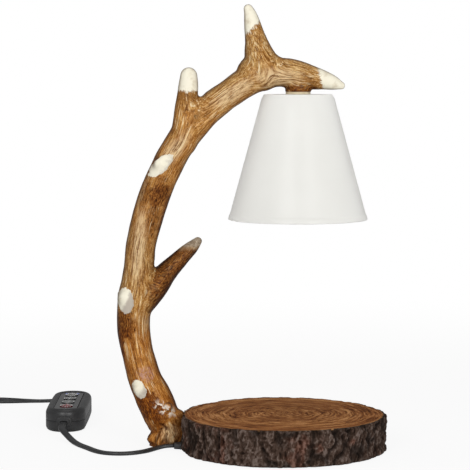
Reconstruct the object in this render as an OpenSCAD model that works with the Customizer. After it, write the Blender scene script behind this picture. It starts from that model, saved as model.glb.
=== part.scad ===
// Candle warmer lamp: an antler stem on a log slice, a cone shade over a twist-lock reflector
// bulb, and a flat cord with an in-line push-button controller.
// Origin: centre of the underside, on the table. +X right, +Y to the back, +Z up.

/* [Log slice] */
// Diameter of the log slice
base_d = 157; // [145:1:190]
// Height of the slice's top above the table
base_h = 28; // [26:0.5:40]
// Wood left above the pocket
roof_t = 8; // [5:0.5:8]
// Diameter of the pocket under the slice
pocket_d = 114; // [100:1:120]
// Width of the ledge that the bottom plate screws to
ledge_w = 7; // [6:0.5:9]
// Thickness of the bottom plate
plate_t = 2; // [1.5:0.1:2.4]
// Thickness of the felt under the slice
felt_t = 1.2; // [0.8:0.1:1.6]
// Distance from the slice's rim in to the felt's edge
felt_inset = 6; // [3:0.5:10]
// Diameter of the steel ballast
ballast_d = 104; // [80:1:110]
// Thickness of the steel ballast
ballast_t = 6; // [3:0.5:8]

/* [Antler] */
// Height of the highest tine's tip
antler_h = 344; // [290:1:415]
// Distance of the foot's axis behind the slice's centre
foot_y = 12; // [0:1:20]
// Distance from the flat seat on the slice to the foot's axis
foot_reach = 14.5; // [13:0.5:16]
// Depth of the flat seat cut into the slice's side
seat_depth = 1.5; // [0.5:0.1:3]
// Outer diameter of the steel tube cast into the antler
armature_d = 7; // [6.6:0.1:8]
// Bore of the steel tube
armature_bore = 5.2; // [4.8:0.1:6]
// Diameter of the short stub above the shade
stub_d = 20; // [18:0.5:24]

/* [Threaded parts] */
// Diameter of the hollow threaded nipples
nipple_d = 10; // [8.3:0.1:12]
// Bore of the nipples
nipple_bore = 7; // [5.5:0.1:8]
// Length of thread that each insert holds
insert_l = 10; // [8:0.5:12]
// Wall of the brass inserts
insert_wall = 1.5; // [1:0.1:2]
// Thickness of the nuts
nut_t = 3; // [2:0.5:4]
// Radial clearance of threads and seated parts
seat_clear = 0.05; // [0.02:0.01:0.1]
// Diameter of the steel dowel in the foot
dowel_d = 5; // [4:0.5:6]
// Length of the steel dowel
dowel_l = 20; // [16:1:24]

/* [Shade] */
// Outer diameter at the lower rim
shade_bottom_d = 106.8; // [90:0.2:130]
// Outer diameter at the top
shade_top_d = 54.2; // [45:0.2:66]
// Height of the shade
shade_h = 96; // [80:1:116]
// Thickness of the sheet
shade_wall = 0.8; // [0.6:0.1:1.2]
// Height of the rolled hem
hem_h = 4; // [2:0.5:6]
// How far the hem stands proud
hem_proud = 0.4; // [0.2:0.1:0.8]
// Thickness of the pale disc between the stub and the shade
stub_washer_t = 2; // [1:0.5:3]
// Thickness of the fibre washer inside the shade
fibre_t = 1; // [0.5:0.5:2]

/* [Lampholder] */
// Outer diameter of the ceramic insert
ceramic_d = 28.4; // [28:0.2:34]
// Height of the ceramic insert
ceramic_h = 20; // [18:0.5:24]
// Whole height of the lampholder
holder_h = 29; // [29:0.5:36]
// Wall of the metal cap
cap_wall = 1.2; // [0.8:0.1:2]
// Height of the metal cap
cap_h = 20; // [17:0.5:24]

/* [Bulb] */
// Diameter of the reflector's rim
bulb_d = 50; // [42:0.5:60]
// Length of the bulb without its pins
bulb_l = 47; // [44:0.5:56]
// Diameter of the ceramic base
bulb_base_d = 22; // [20:0.5:24]
// Distance between the two pins
pin_gap = 10; // [9:0.5:11]
// Diameter of a pin's shank
pin_d = 3; // [2.5:0.1:3.4]
// Diameter of a pin's head
pin_head_d = 5; // [4.2:0.1:5.4]
// Length of a pin
pin_l = 7; // [6:0.5:7.5]
// Turn from locked to released
twist = 35; // [25:1:45]

/* [Controller] */
// Length of the housing
ctl_l = 100; // [96:1:125]
// Width of the housing
ctl_w = 33.4; // [32:0.2:42]
// Height of the housing
ctl_h = 19; // [19:0.5:24]
// Wall of the housing
ctl_wall = 2; // [1.6:0.1:2.4]
// Length of the recessed face
face_l = 89; // [82:1:94]
// Width of the recessed face
face_w = 18.8; // [16:0.2:22]
// Depth of the face below the rim
face_recess = 0.8; // [0.4:0.1:1.2]
// Diameter of the push buttons
button_d = 10.6; // [9:0.2:12]
// How far the buttons stand above the face
button_proud = 0.7; // [0.7:0.1:1.2]
// Travel of the buttons
button_travel = 0.6; // [0.3:0.1:0.7]
// Radial clearance round the buttons and the bulb's pins
moving_clear = 0.25; // [0.2:0.05:0.4]

/* [Cord and plug] */
// Width of the flat cord
cord_w = 5.4; // [4.8:0.1:6]
// Thickness of the flat cord
cord_t = 2.8; // [2.4:0.1:3.2]
// Diameter of the coil at the middle of its turns
coil_d = 64; // [56:1:72]
// Number of turns in the coil
coil_turns = 6.25; // [4.25:1:8.25]
// Width of the plug across its blades
plug_w = 25; // [22:0.5:30]
// Thickness of the plug
plug_t = 15; // [13:0.5:18]
// Length of the plug's grip
plug_l = 26; // [20:1:34]

/* [Hidden] */

// Over-reach that keeps a cut's face clear of the face it opens
cut = 1;
fine = 96;

// Heights inside the slice
plate_top = felt_t + plate_t;
roof_z = base_h - roof_t;
nipple_z = (plate_top + roof_z) / 2;
seat_x = seat_depth - base_d / 2;
pocket_r = pocket_d / 2;
ledge_r = pocket_r + ledge_w;
plate_screw_r = 1.5;
plate_screw_l = 12;
plate_screw_at = pocket_r + ledge_w / 2;
nut_af = nipple_d + 4;
nut_r = nut_af / 2 / cos(30);
washer_t = 1;

// Antler stations: distance right of the foot's axis, behind it, height and radius
beam = [
    [0, 0, -2, 12.6], [0, 0, 6, 13.2], [0.5, 0, 13, 12], [-3.5, 0.5, 25, 14.2], [-9, 1, 38, 14],
    [-15, 1.5, 51, 12.8], [-19, 1.5, 64.5, 12.2], [-22, 1.5, 77, 12], [-24.2, 1, 90, 12.4],
    [-24.7, 1, 103, 13.3], [-23.5, 0.5, 117, 14], [-21.2, 0, 130, 13], [-20, -1, 143, 11.9],
    [-18.6, -2, 157, 11.7], [-16, -3, 170, 11.9], [-12.3, -4, 183.5, 12.2],
    [-7.5, -5.5, 197.5, 12.5], [-1, -7, 212, 12.7], [7.3, -8, 227, 12.9], [17.3, -9, 241.5, 13],
    [29, -10, 256, 12.6], [40.5, -10.5, 267.5, 11.8], [52.7, -11, 277, 11.1],
    [67, -11.5, 286, 11.2], [81, -12, 291, 11], [93.2, -12, 291.2, 10.3],
    [104, -12, 289.4, 9.5], [114.6, -12, 287, 8.1], [124, -12, 285, 6.3],
    [131, -12, 283.2, 4.5], [135, -12, 281.6, 2.4]
];
tines = [
    [[17, -12, 249, 10.8], [17.5, -13, 261.5, 10], [18, -14, 272, 8.7], [18.5, -15, 281.5, 7.7],
     [18.8, -15.5, 289, 6.6]],
    [[75.5, -12, 299, 12.4], [72.3, -11, 308.5, 10.1], [70.3, -10, 316, 8.6],
     [68.5, -9.5, 323.5, 7.2], [67, -9, 330.2, 6], [65.4, -8.5, 337, 4.6],
     [64.2, -8.2, 340.2, 3.8]],
    [[-14.5, 2, 123.5, 12], [-6.6, 4, 129, 10.8], [0.4, 6, 136, 8.8], [7.3, 8, 143.3, 7.5],
     [14.3, 10, 150, 6.4], [20.5, 12, 155.3, 5.1], [25, 14, 160, 3.6]]
];
// Knobs: inner and outer ball of each, placed like the stations
knobs = [
    [[-0.5, -13, 220, 7], [-3, -18.5, 222.5, 5.2]],
    [[-26, -6.5, 116, 7.2], [-30.5, -10, 118, 5.4]],
    [[-16.5, -6.5, 46, 6.6], [-21, -10, 47.2, 4.6]],
    [[1, -8, 32, 5], [2, -12.5, 33.5, 3.4]],
    [[-7, -3, 6, 6.5], [-10, -5, 6.5, 4.5]]
];
antler_sides = 22;
tine_sides = 16;

// The antler grows with its height; its foot stays on the seat
grow = antler_h / 344;
foot_x = seat_x - foot_reach;
function placed(s) = [foot_x + s[0] * grow, foot_y + s[1] * grow, s[2] * grow];
head = [foot_x + 102.5 * grow, foot_y - 12 * grow, 277 * grow];
channel_clear = 0.3;
channel_sides = 12;
armature_first = 3;
armature_last = 24;

// Heights of the head, from the stub's cut face down
shade_top_z = head[2] - stub_washer_t;
shade_z = shade_top_z - shade_h;
nut_top_z = shade_top_z - shade_wall - fibre_t;
cap_top_z = nut_top_z - nut_t;
ceramic_z = cap_top_z - holder_h;
cap_z = cap_top_z - cap_h;
cap_top_t = 2;
keyplate_t = 3.8;
chamber_h = 5.4;
contact_t = 0.6;
contact_gap = 0.3;
bulb_z = ceramic_z - bulb_l;
pin_head_h = 2.4;
bulb_base_h = 13;
glass_wall = 1.6;
holder_screw_at = 10;
holder_screw_r = 1.5;
holder_screw_head_r = 2.6;
holder_screw_head_h = 1.6;

split_z = 9;
face_t = 1.6;
face_top_z = ctl_h - face_recess;
face_z = face_top_z - face_t;
shelf_t = 2;
flange_t = 1;
flange_w = 0.9;
board_t = 1.6;
board_z = 7.6;
board_top_z = board_z + board_t;
board_w = 16.4;
board_l = 80;
switch_w = 6;
plunger_d = 3.4;
plunger_h = 2.2;
stem_h = 0.8;
button_rows = [26.6, 8.7, -9.5, -27.7];
light_row = 34.8;
light_gap = 4.6;
light_d = 1.8;
red_row = -18.5;
post_x = 12;
post_y = 31;
post_d = 6.4;
ctl_screw_d = 2.4;
flange_z = face_z - 0.1 - flange_t;
stem_z = flange_z - stem_h;
switch_top_z = stem_z - plunger_h + 1.2;

// Strain relief: length and size of each step outside the housing
relief_bore_w = cord_w + 0.4;
relief_bore_t = cord_t + 0.4;
relief_flange = 1.5;
relief_wall_gap = 0.2;
relief_step = 2.8;
relief_nose = 0.8;
relief_y = ctl_l / 2 - 0.8;
relief_end = relief_y + 2 * relief_step + relief_nose;
// Distance from the housing's middle to where the cord starts to bend
bend_y = relief_end + 13.6;
inner_wall_y = (ctl_l - ctl_w) / 2 + sqrt(pow(ctl_w / 2 - ctl_wall, 2) - 25);
relief_flange_y = inner_wall_y - relief_wall_gap - relief_flange;

// Cord bushing in the slice's side
bushing_y = foot_y - 17 * grow;
bushing_z = felt_t + 2.5;
bushing_w = 9;
bushing_h = 5;
bushing_nose = 6;
bushing_flange = 2;
nose_x = -base_d / 2 - bushing_nose;
end_gap = 0.1;

// The cord leaves the bushing, swings forward along the table and turns back to the
// controller, whose lamp end is nearer the viewer. Points are from the bushing's mouth.
lay = cord_t / 2 + 0.05;
ctl_offset = [-91.5, 55.8];
ctl_at = [nose_x + ctl_offset[0], bushing_y + ctl_offset[1] + bend_y, 0];
lamp_points = [
    [-end_gap, 0, bushing_z], [-2.5, 0, bushing_z], [-8, -0.8, 3.3], [-13, -3, 2.5],
    [-17.6, -6.5, 1.8], [-21.5, -10.4, lay], [-25.6, -14.4, lay], [-32, -18.7, lay],
    [-39.4, -20.7, lay], [-47, -20, lay], [-53.8, -16.8, lay], [-60.2, -9.8, lay],
    [-67.3, 2.5, lay], [-74.4, 14.8, 1.5], [-78.4, 21.6, 2.1], [-81.9, 27.8, 3.4],
    [-85.3, 33.8, 5.3], [-88.6, 39.4, 7.4], [-90.7, 44.6, 8.6], [-91.5, 50.4, split_z]
];
lamp_route = concat(
    [for (p = lamp_points) [nose_x + p[0], bushing_y + p[1], p[2]]],
    [
        [ctl_at[0], ctl_at[1] - bend_y, split_z],
        [ctl_at[0], ctl_at[1] - relief_flange_y, split_z]
    ]
);

// On the mains side it turns left and rises on edge to join the coil. Points are from the
// mouth of the strain relief.
mains_at = [ctl_at[0], ctl_at[1] + bend_y, 0];
coil_low = cord_w / 2 + 0.15;
mains_points = [
    [0, 5.4, split_z], [-0.8, 11.2, 8.5], [-3.1, 16.9, 7.2], [-6.7, 21.7, 5.6],
    [-11.5, 25.3, 4], [-17, 27.6, 2.6], [-23, 28.4, 1.9], [-32, 27.9, 1.6], [-44, 26.7, 1.9],
    [-56, 25.4, 2.35], [-68, 24.1, 2.75], [-80, 22.9, coil_low], [-92, 21.9, coil_low],
    [-104, 21.2, coil_low], [-111.6 + end_gap, 21.1, coil_low]
];
mains_route = concat(
    [
        [mains_at[0], ctl_at[1] + relief_flange_y, split_z],
        [mains_at[0], mains_at[1], split_z]
    ],
    [for (p = mains_points) mains_at + p]
);
coil_pitch = cord_t + 0.6;
coil_out = coil_d / 2 + coil_pitch * coil_turns / 4;
coil_at = [mains_at[0] - 111.6 - cord_w, mains_at[1] + 21.1 - coil_out, 0];
coil_rise = cord_w + 0.6;
coil_steps = 24;
tail_points = [
    [0, -end_gap, 0], [0, -3, 0], [0, -9, -0.8], [0, -16, -2], [0, -23, -2.2], [0, -29, -1.6],
    [0, -33, -1.3], [0, -36, -1.3]
];
tie_angle = -50;
tie_w = 12;
tie_t = 1;
tie_gap = 0.4;
plug_relief = 14;
blade_gap = 12.7;
blade_l = 16;
blade_w = 6.3;
blade_t = 1.5;

// Outline of the log slice: a circle with a slow waver
function slice_r(a) =
    base_d / 2 * (1 + 0.007 * cos(2 * a - 10) + 0.006 * cos(3 * a + 40) + 0.003 * cos(7 * a));
slice_outline = [for (a = [0:5:355]) slice_r(a) * [cos(a), sin(a)]];

// Cross sections
function circle_section(r, n) = [for (a = [0:360 / n:359.9]) r * [cos(a), sin(a)]];
flat_section = [
    for (c = [[1, 0.42], [0.72, 1], [-0.72, 1], [-1, 0.42], [-1, -0.42], [-0.72, -1],
              [0.72, -1], [1, -0.42]])
        [c[0] * cord_w / 2, c[1] * cord_t / 2]
];
coil_section = [
    for (c = [[1, 0.55], [0, 1], [-1, 0.55], [-1, -0.55], [0, -1], [1, -0.55]])
        [c[0] * cord_t / 2, c[1] * cord_w / 2]
];

// Rings of a tube: a section carried square to its path, rolled about it
function unit(v) = v / norm(v);
function heading(path, i) = unit(path[min(i + 1, len(path) - 1)] - path[max(i - 1, 0)]);
function ring(path, i, section, ref, roll = 0) =
    let (
        along = heading(path, i),
        side = unit(cross(along, ref)),
        up = cross(side, along)
    )
    [
        for (p = section)
            path[i] + side * (p[0] * cos(roll) - p[1] * sin(roll))
                + up * (p[0] * sin(roll) + p[1] * cos(roll))
    ];
function ramp(x) = x <= 0 ? 0 : x >= 1 ? 1 : x * x * (3 - 2 * x);

// Tube through the rings, with flat ends
module tube(rings) {
    n = len(rings[0]);
    last = (len(rings) - 1) * n;
    sides = [
        for (i = [0:len(rings) - 2], j = [0:n - 1], half = [0, 1])
            let (a = i * n + j, b = i * n + (j + 1) % n)
                half == 0 ? [a, b, a + n] : [b, b + n, a + n]
    ];
    starts = [for (j = [1:n - 2]) [0, j + 1, j]];
    ends = [for (j = [1:n - 2]) [last, last + j, last + j + 1]];
    polyhedron([for (r = rings) each r], concat(sides, starts, ends), convexity = 10);
}

// Tube with a bore, both walls given as rings
module pipe(outer, inner) {
    n = len(outer[0]);
    m = len(outer);
    base = n * m;
    walls = [
        for (i = [0:m - 2], j = [0:n - 1], face = [0:3])
            let (a = i * n + j, b = i * n + (j + 1) % n)
                face == 0 ? [a, b, a + n]
                : face == 1 ? [b, b + n, a + n]
                : face == 2 ? [base + a, base + a + n, base + b]
                : [base + b, base + a + n, base + b + n]
    ];
    rims = [
        for (j = [0:n - 1], face = [0:3])
            let (k = (j + 1) % n, e = (m - 1) * n)
                face == 0 ? [j, base + j, k]
                : face == 1 ? [k, base + j, base + k]
                : face == 2 ? [e + j, e + k, base + e + j]
                : [e + k, base + e + k, base + e + j]
    ];
    points = concat([for (r = outer) each r], [for (r = inner) each r]);
    polyhedron(points, concat(walls, rims), convexity = 10);
}

// Flat-ended bar with round sides, along +Y from y = 0
module pill_bar(w, t, l) {
    rotate([-90, 0, 0]) linear_extrude(l) pill(w, t);
}

module pill(w, t) {
    square([w - t, t], center = true);
    for (s = [-1, 1])
        translate([s * (w - t) / 2, 0]) circle(d = t, $fn = 48);
}

// Stadium plate along Y, standing on z = 0
module stadium(l, w, h) {
    linear_extrude(h) {
        square([w, l - w], center = true);
        for (s = [-1, 1])
            translate([0, s * (l - w) / 2]) circle(d = w, $fn = fine);
    }
}

module hex_nut() {
    difference() {
        rotate(30) cylinder(r = nut_r, h = nut_t, $fn = 6);
        translate([0, 0, -cut]) cylinder(d = nipple_d + 2 * seat_clear, h = nut_t + 2 * cut, $fn = fine);
    }
}

module washer(d, t, hole_d) {
    difference() {
        cylinder(d = d, h = t, $fn = fine);
        translate([0, 0, -cut]) cylinder(d = hole_d, h = t + 2 * cut, $fn = fine);
    }
}

module nipple(l) {
    washer(nipple_d, l, nipple_bore);
}

module pan_screw(r, l, head_r, head_h) {
    cylinder(r = r, h = l, $fn = 48);
    translate([0, 0, -head_h]) cylinder(r = head_r, h = head_h, $fn = 48);
}

// Log slice, hollow below

module at_plate_screws() {
    for (a = [45:90:315])
        rotate(a) translate([plate_screw_at, 0, 0]) children();
}

module countersink(clear = 0) {
    translate([0, 0, felt_t]) cylinder(r1 = 2.8 + clear, r2 = plate_screw_r + clear, h = 1.3, $fn = 48);
}

clamp_at = [-38, bushing_y];
clamp_size = [8, 20];
clamp_cord_z = 9.8;
clamp_bar_t = 2;
clamp_screw_at = 7;
clamp_screw_l = 10;

module clamp_block(z, h) {
    translate([clamp_at[0] - clamp_size[0] / 2, clamp_at[1] - clamp_size[1] / 2, z])
        cube([clamp_size[0], clamp_size[1], h]);
}

module at_clamp_screws(z) {
    for (s = [-1, 1])
        translate([clamp_at[0], clamp_at[1] + s * clamp_screw_at, z]) children();
}

clamp_top_z = clamp_cord_z + cord_t / 2 + 0.1;
clamp_bar_z = clamp_cord_z - cord_t / 2 - 0.1 - clamp_bar_t;
dowel_z = nipple_z + nipple_d / 2 + insert_wall + dowel_d / 2 + 0.9;

// Room for the nut where it is wider than the pocket is high
module nut_room() {
    translate([nut_x - 0.1, foot_y, nipple_z]) rotate([0, 90, 0])
        cylinder(r = nut_r + 0.2, h = nut_t + 0.2, $fn = 48);
}

module slice_blank() {
    difference() {
        translate([0, 0, felt_t]) linear_extrude(base_h - felt_t) polygon(slice_outline);
        translate([seat_x - 20, foot_y - 16, 0]) cube([20, 32, base_h + cut]);
    }
}

module log_slice() {
    color("saddlebrown") difference() {
        union() {
            difference() {
                slice_blank();
                cylinder(r = pocket_r, h = roof_z, $fn = 180);
            }
            clamp_block(clamp_top_z, roof_z - clamp_top_z + cut);
        }
        cylinder(r = ledge_r, h = plate_top, $fn = 180);
        at_plate_screws()
            cylinder(r = plate_screw_r + seat_clear, h = felt_t + plate_screw_l + cut, $fn = 48);
        translate([seat_x - cut, foot_y, nipple_z]) rotate([0, 90, 0])
            cylinder(d = nipple_d + 2 * seat_clear, h = base_d / 2 - pocket_r + 12, $fn = fine);
        translate([seat_x - cut, foot_y, dowel_z]) rotate([0, 90, 0])
            cylinder(d = dowel_d + 2 * seat_clear, h = dowel_l / 2 + 2 * cut, $fn = 48);
        translate([-base_d, bushing_y - bushing_w / 2 - 0.1, 0])
            cube([base_d - pocket_r + 4, bushing_w + 0.2, bushing_z + bushing_h / 2 + 0.1]);
        at_clamp_screws(clamp_top_z - cut) cylinder(r = 1.5 + seat_clear, h = clamp_screw_l, $fn = 48);
        nut_room();
    }
}

module bottom_plate() {
    color([0.12, 0.12, 0.12]) difference() {
        translate([0, 0, felt_t]) cylinder(r = ledge_r - 0.2, h = plate_t, $fn = 180);
        at_plate_screws() union() {
            cylinder(r = plate_screw_r + seat_clear, h = plate_top + cut, $fn = 48);
            countersink(seat_clear);
        }
        translate([-base_d, bushing_y - bushing_w / 2 - 0.5, 0])
            cube([base_d - pocket_r + 12, bushing_w + 1, base_h]);
        nut_room();
    }
}

module base_felt() {
    color([0.1, 0.1, 0.1]) cylinder(r = base_d / 2 - felt_inset, h = felt_t, $fn = 180);
}

module plate_screws() {
    color("silver") at_plate_screws() union() {
        countersink();
        translate([0, 0, felt_t]) cylinder(r = plate_screw_r, h = plate_screw_l, $fn = 48);
    }
}

module ballast_plate() {
    color("dimgray") translate([0, 0, roof_z - ballast_t]) intersection() {
        cylinder(d = ballast_d, h = ballast_t, $fn = 180);
        translate([-8, -ballast_d / 2, 0]) cube([ballast_d, ballast_d, ballast_t]);
    }
}

module cord_clamp() {
    color("dimgray") difference() {
        clamp_block(clamp_bar_z, clamp_bar_t);
        at_clamp_screws(0) cylinder(r = 1.5 + seat_clear, h = base_h, $fn = 48);
    }
}

module clamp_screws() {
    color("silver") at_clamp_screws(clamp_bar_z) pan_screw(1.5, clamp_top_z - clamp_bar_z + 8, 2.8, 1.8);
}

module cord_bushing() {
    wall_x = -base_d / 2;
    color([0.13, 0.13, 0.13]) translate([0, bushing_y, bushing_z]) difference() {
        union() {
            translate([wall_x, -bushing_w / 2, -bushing_h / 2])
                cube([base_d / 2 - pocket_r + 1.3, bushing_w, bushing_h]);
            translate([1.2 - pocket_r, -bushing_w / 2, -bushing_h / 2])
                cube([bushing_flange, bushing_w, bushing_h + 2]);
            hull() {
                translate([wall_x, 0, 0]) rotate(90) pill_bar(bushing_w, bushing_h, 0.1);
                translate([nose_x + 0.1, 0, 0]) rotate(90) pill_bar(cord_w + 2, cord_t + 1.8, 0.1);
            }
        }
        translate([nose_x - cut, 0, 0]) rotate(-90)
            pill_bar(relief_bore_w, relief_bore_t, base_d);
    }
}

connector_x = -24;
connector_l = 16;
connector_r = 3.2;
connector_gap = 7.2;
connector_z = plate_top + connector_r + 0.2;

module wire_connectors() {
    color("ivory") for (s = [-1, 1])
        translate([connector_x, bushing_y + s * connector_gap / 2, connector_z])
            rotate([0, 90, 0]) cylinder(r = connector_r, h = connector_l, $fn = 48);
}

core_r = 0.95;
core_side = 1.05;
core_sides = 6;
supply_route = [
    [nose_x, bushing_y, bushing_z], [3 - pocket_r, bushing_y, bushing_z],
    [5 - pocket_r, bushing_y, 3.9], [-49.5, bushing_y, 4.8], [-47, bushing_y, 6.8],
    [-44.5, bushing_y, 8.9], [-42, bushing_y, clamp_cord_z], [-33, bushing_y, clamp_cord_z],
    [-31.5, bushing_y, clamp_cord_z]
];

module supply_lead() {
    color([0.15, 0.15, 0.15])
        tube([for (i = [0:len(supply_route) - 1]) ring(supply_route, i, flat_section, [0, 0, 1])]);
    color("white") for (s = [-1, 1]) {
        branch = [
            [-31.8, bushing_y + s * 1.35, clamp_cord_z], [-30.5, bushing_y + s * 1.4, clamp_cord_z],
            [-28, bushing_y + s * 2.5, connector_z + 2.2],
            [-26, bushing_y + s * connector_gap / 2, connector_z + 1.3],
            [connector_x - 0.05, bushing_y + s * connector_gap / 2, connector_z + 1.3]
        ];
        tube([for (i = [0:4]) ring(branch, i, circle_section(core_r, core_sides), [0, 0, 1])]);
    }
}

// Antler with its wire channel

function station(s) = concat(placed(s), s[3] * grow);
function spine(stations) = [for (s = stations) placed(s)];
function round_rings(stations, sides) =
    let (path = spine(stations))
        [
            for (i = [0:len(stations) - 1])
                ring(path, i, circle_section(stations[i][3] * grow, sides), [0, 1, 0])
        ];

// Rings that close a branch's far end as a dome
function dome_rings(stations, sides) =
    let (
        path = spine(stations),
        n = len(path) - 1,
        along = heading(path, n),
        r = stations[n][3] * grow
    )
    [
        for (a = [30, 60, 82])
            let (tip = [path[n] - along, path[n] + along * r * sin(a)])
                ring(tip, 1, circle_section(r * cos(a), sides), [0, 1, 0])
    ];

module branch(stations, sides) {
    tube(concat(round_rings(stations, sides), dome_rings(stations, sides)));
}

module ball(s) {
    translate(placed(s)) sphere(r = s[3] * grow, $fn = tine_sides);
}

channel_r = armature_d / 2 + channel_clear;
wire_spine = [for (i = [armature_first:armature_last]) placed(beam[i])];
insert_r = nipple_d / 2 + insert_wall;

module antler_blank() {
    branch(beam, antler_sides);
    for (t = tines)
        branch(t, tine_sides);
    for (k = knobs)
        hull() {
            ball(k[0]);
            ball(k[1]);
        }
    // Root that meets the slice
    hull() {
        translate([seat_x - 7.5, foot_y, nipple_z - 1]) sphere(r = 9.8, $fn = tine_sides);
        translate([seat_x - 6.5, foot_y, dowel_z]) sphere(r = 8.6, $fn = tine_sides);
    }
    // Stub that holds the shade
    hull() {
        translate([head[0], head[1], head[2] - cut]) cylinder(d = stub_d, h = 2, $fn = 32);
        translate([head[0], head[1], head[2] + 11]) sphere(d = stub_d, $fn = 16);
    }
    // Swelling under the highest tine
    hull() {
        ball([79, -12, 289, 11.4]);
        ball([73.5, -11.6, 303, 11]);
    }
    // Swelling where the lower tine leaves
    hull() {
        ball([-21, 0.5, 119, 12.5]);
        ball([-9, 3.5, 128, 10.6]);
    }
}

module antler() {
    color("peru") difference() {
        antler_blank();
        translate([seat_x, -base_d, -base_h]) cube([base_d, 2 * base_d, 3.2 * base_h]);
        translate([-2 * base_d, -base_d, -base_h]) cube([4 * base_d, 2 * base_d, base_h + felt_t]);
        translate([head[0] - stub_d, head[1] - stub_d, head[2] - 20]) cube([2 * stub_d, 2 * stub_d, 20]);
        tube([
            for (i = [0:len(wire_spine) - 1])
                ring(wire_spine, i, circle_section(channel_r, channel_sides), [0, 1, 0])
        ]);
        // Chamber where the wires turn up
        hull() {
            translate([seat_x - insert_l - 1, foot_y, nipple_z]) sphere(d = nipple_bore, $fn = 12);
            translate([foot_x, foot_y, nipple_z + 4]) sphere(r = channel_r + 0.6, $fn = 12);
            translate(wire_spine[0]) sphere(r = channel_r, $fn = 12);
        }
        // Chamber where they turn down to the shade
        hull() {
            translate(wire_spine[len(wire_spine) - 1]) sphere(r = channel_r, $fn = 12);
            translate([head[0] - 1, head[1], head[2] + insert_l + 2.5]) sphere(r = channel_r, $fn = 12);
            translate([head[0], head[1], head[2] + insert_l]) sphere(r = channel_r, $fn = 12);
        }
        translate([seat_x - insert_l - 0.1, foot_y, nipple_z]) rotate([0, 90, 0])
            cylinder(r = insert_r + 0.1, h = insert_l + cut, $fn = 48);
        translate([head[0], head[1], head[2] - cut])
            cylinder(r = insert_r + 0.1, h = insert_l + cut + 0.1, $fn = 48);
        translate([seat_x - dowel_l / 2 - 0.1, foot_y, dowel_z]) rotate([0, 90, 0])
            cylinder(r = dowel_d / 2 + 0.1, h = dowel_l, $fn = 48);
    }
}

module armature_tube() {
    wall = function (r) [
        for (i = [0:len(wire_spine) - 1]) ring(wire_spine, i, circle_section(r, 10), [0, 1, 0])
    ];
    color("silver") pipe(wall(armature_d / 2), wall(armature_bore / 2));
}

module thread_inserts() {
    color("gold") {
        translate([seat_x - insert_l, foot_y, nipple_z]) rotate([0, 90, 0])
            washer(2 * insert_r, insert_l, nipple_d + 2 * seat_clear);
        translate(head) washer(2 * insert_r, insert_l, nipple_d + 2 * seat_clear);
    }
}

foot_nipple_x = seat_x - insert_l + 1;
nut_x = washer_t - sqrt(pocket_r * pocket_r - pow(foot_y + nut_af / 2, 2));

module foot_nipple() {
    color("gold") translate([foot_nipple_x, foot_y, nipple_z]) rotate([0, 90, 0])
        nipple(nut_x + nut_t + 2 - foot_nipple_x);
}

module foot_washer() {
    color("silver") intersection() {
        translate([-pocket_r, foot_y, nipple_z]) rotate([0, 90, 0])
            washer(nut_af, nut_x + pocket_r, nipple_d + 2 * seat_clear);
        cylinder(r = pocket_r - 0.1, h = roof_z, $fn = 180);
    }
}

module foot_nut() {
    color("gold") translate([nut_x, foot_y, nipple_z]) rotate([0, 90, 0]) rotate(30) hex_nut();
}

module foot_dowel() {
    color("silver") translate([seat_x - dowel_l / 2, foot_y, dowel_z]) rotate([0, 90, 0])
        cylinder(d = dowel_d, h = dowel_l, $fn = 48);
}

// Two cores from the connectors to the lampholder, through the nipples and the tube
tab_x = pin_gap / 2 + 2;
tab_top_z = ceramic_z + ceramic_h + 2;
wire_turn = [
    [nut_x + nut_t + 1, foot_y, nipple_z],
    [seat_x - insert_l - 1, foot_y, nipple_z], [foot_x + 1.5, foot_y, nipple_z + 2],
    [foot_x - 1, foot_y, nipple_z + 6]
];
wire_drop = [
    [head[0] - 4.5, head[1], head[2] + insert_l + 3.6], [head[0] - 1, head[1], head[2] + insert_l + 1.6],
    [head[0], head[1], head[2] + insert_l - 3], [head[0], head[1], cap_top_z - 2]
];

function core_path(s) =
    concat(
        [
            [connector_x - 0.05, bushing_y + s * connector_gap / 2, connector_z - 1.6],
            [connector_x - 2, bushing_y + s * connector_gap / 2, connector_z - 1.6],
            [connector_x - 4, foot_y - 14 + s * 3.2, connector_z - 1.6],
            [connector_x - 6.5, foot_y - 6 + s * 2.4, connector_z - 0.4],
            [connector_x - 11, foot_y - 1.5 + s * 1.6, nipple_z - 2.2],
            [connector_x - 16, foot_y + s * 1.2, nipple_z - 0.8]
        ],
        [for (p = concat(wire_turn, wire_spine, wire_drop)) p + [0, s * core_side, 0]],
        [
            [head[0] + s * 4.5, head[1] + s * 0.6, tab_top_z + 2.6],
            [head[0] + s * tab_x, head[1], tab_top_z + 1.2],
            [head[0] + s * tab_x, head[1], tab_top_z]
        ]
    );

module lamp_lead() {
    color("white") for (s = [-1, 1]) {
        path = core_path(s);
        tube([for (i = [0:len(path) - 1]) ring(path, i, circle_section(core_r, core_sides), [0, 1, 0.02])]);
    }
}

// Head: nipple, shade and lampholder

module at_head(z) {
    translate([head[0], head[1], z]) children();
}

module head_nipple() {
    color("gold") at_head(cap_top_z - cap_top_t) nipple(head[2] + insert_l - 1 - cap_top_z + cap_top_t);
}

module stub_washer() {
    color("ivory") at_head(shade_top_z) washer(stub_d - 1, stub_washer_t, nipple_d + 2 * seat_clear);
}

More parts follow.
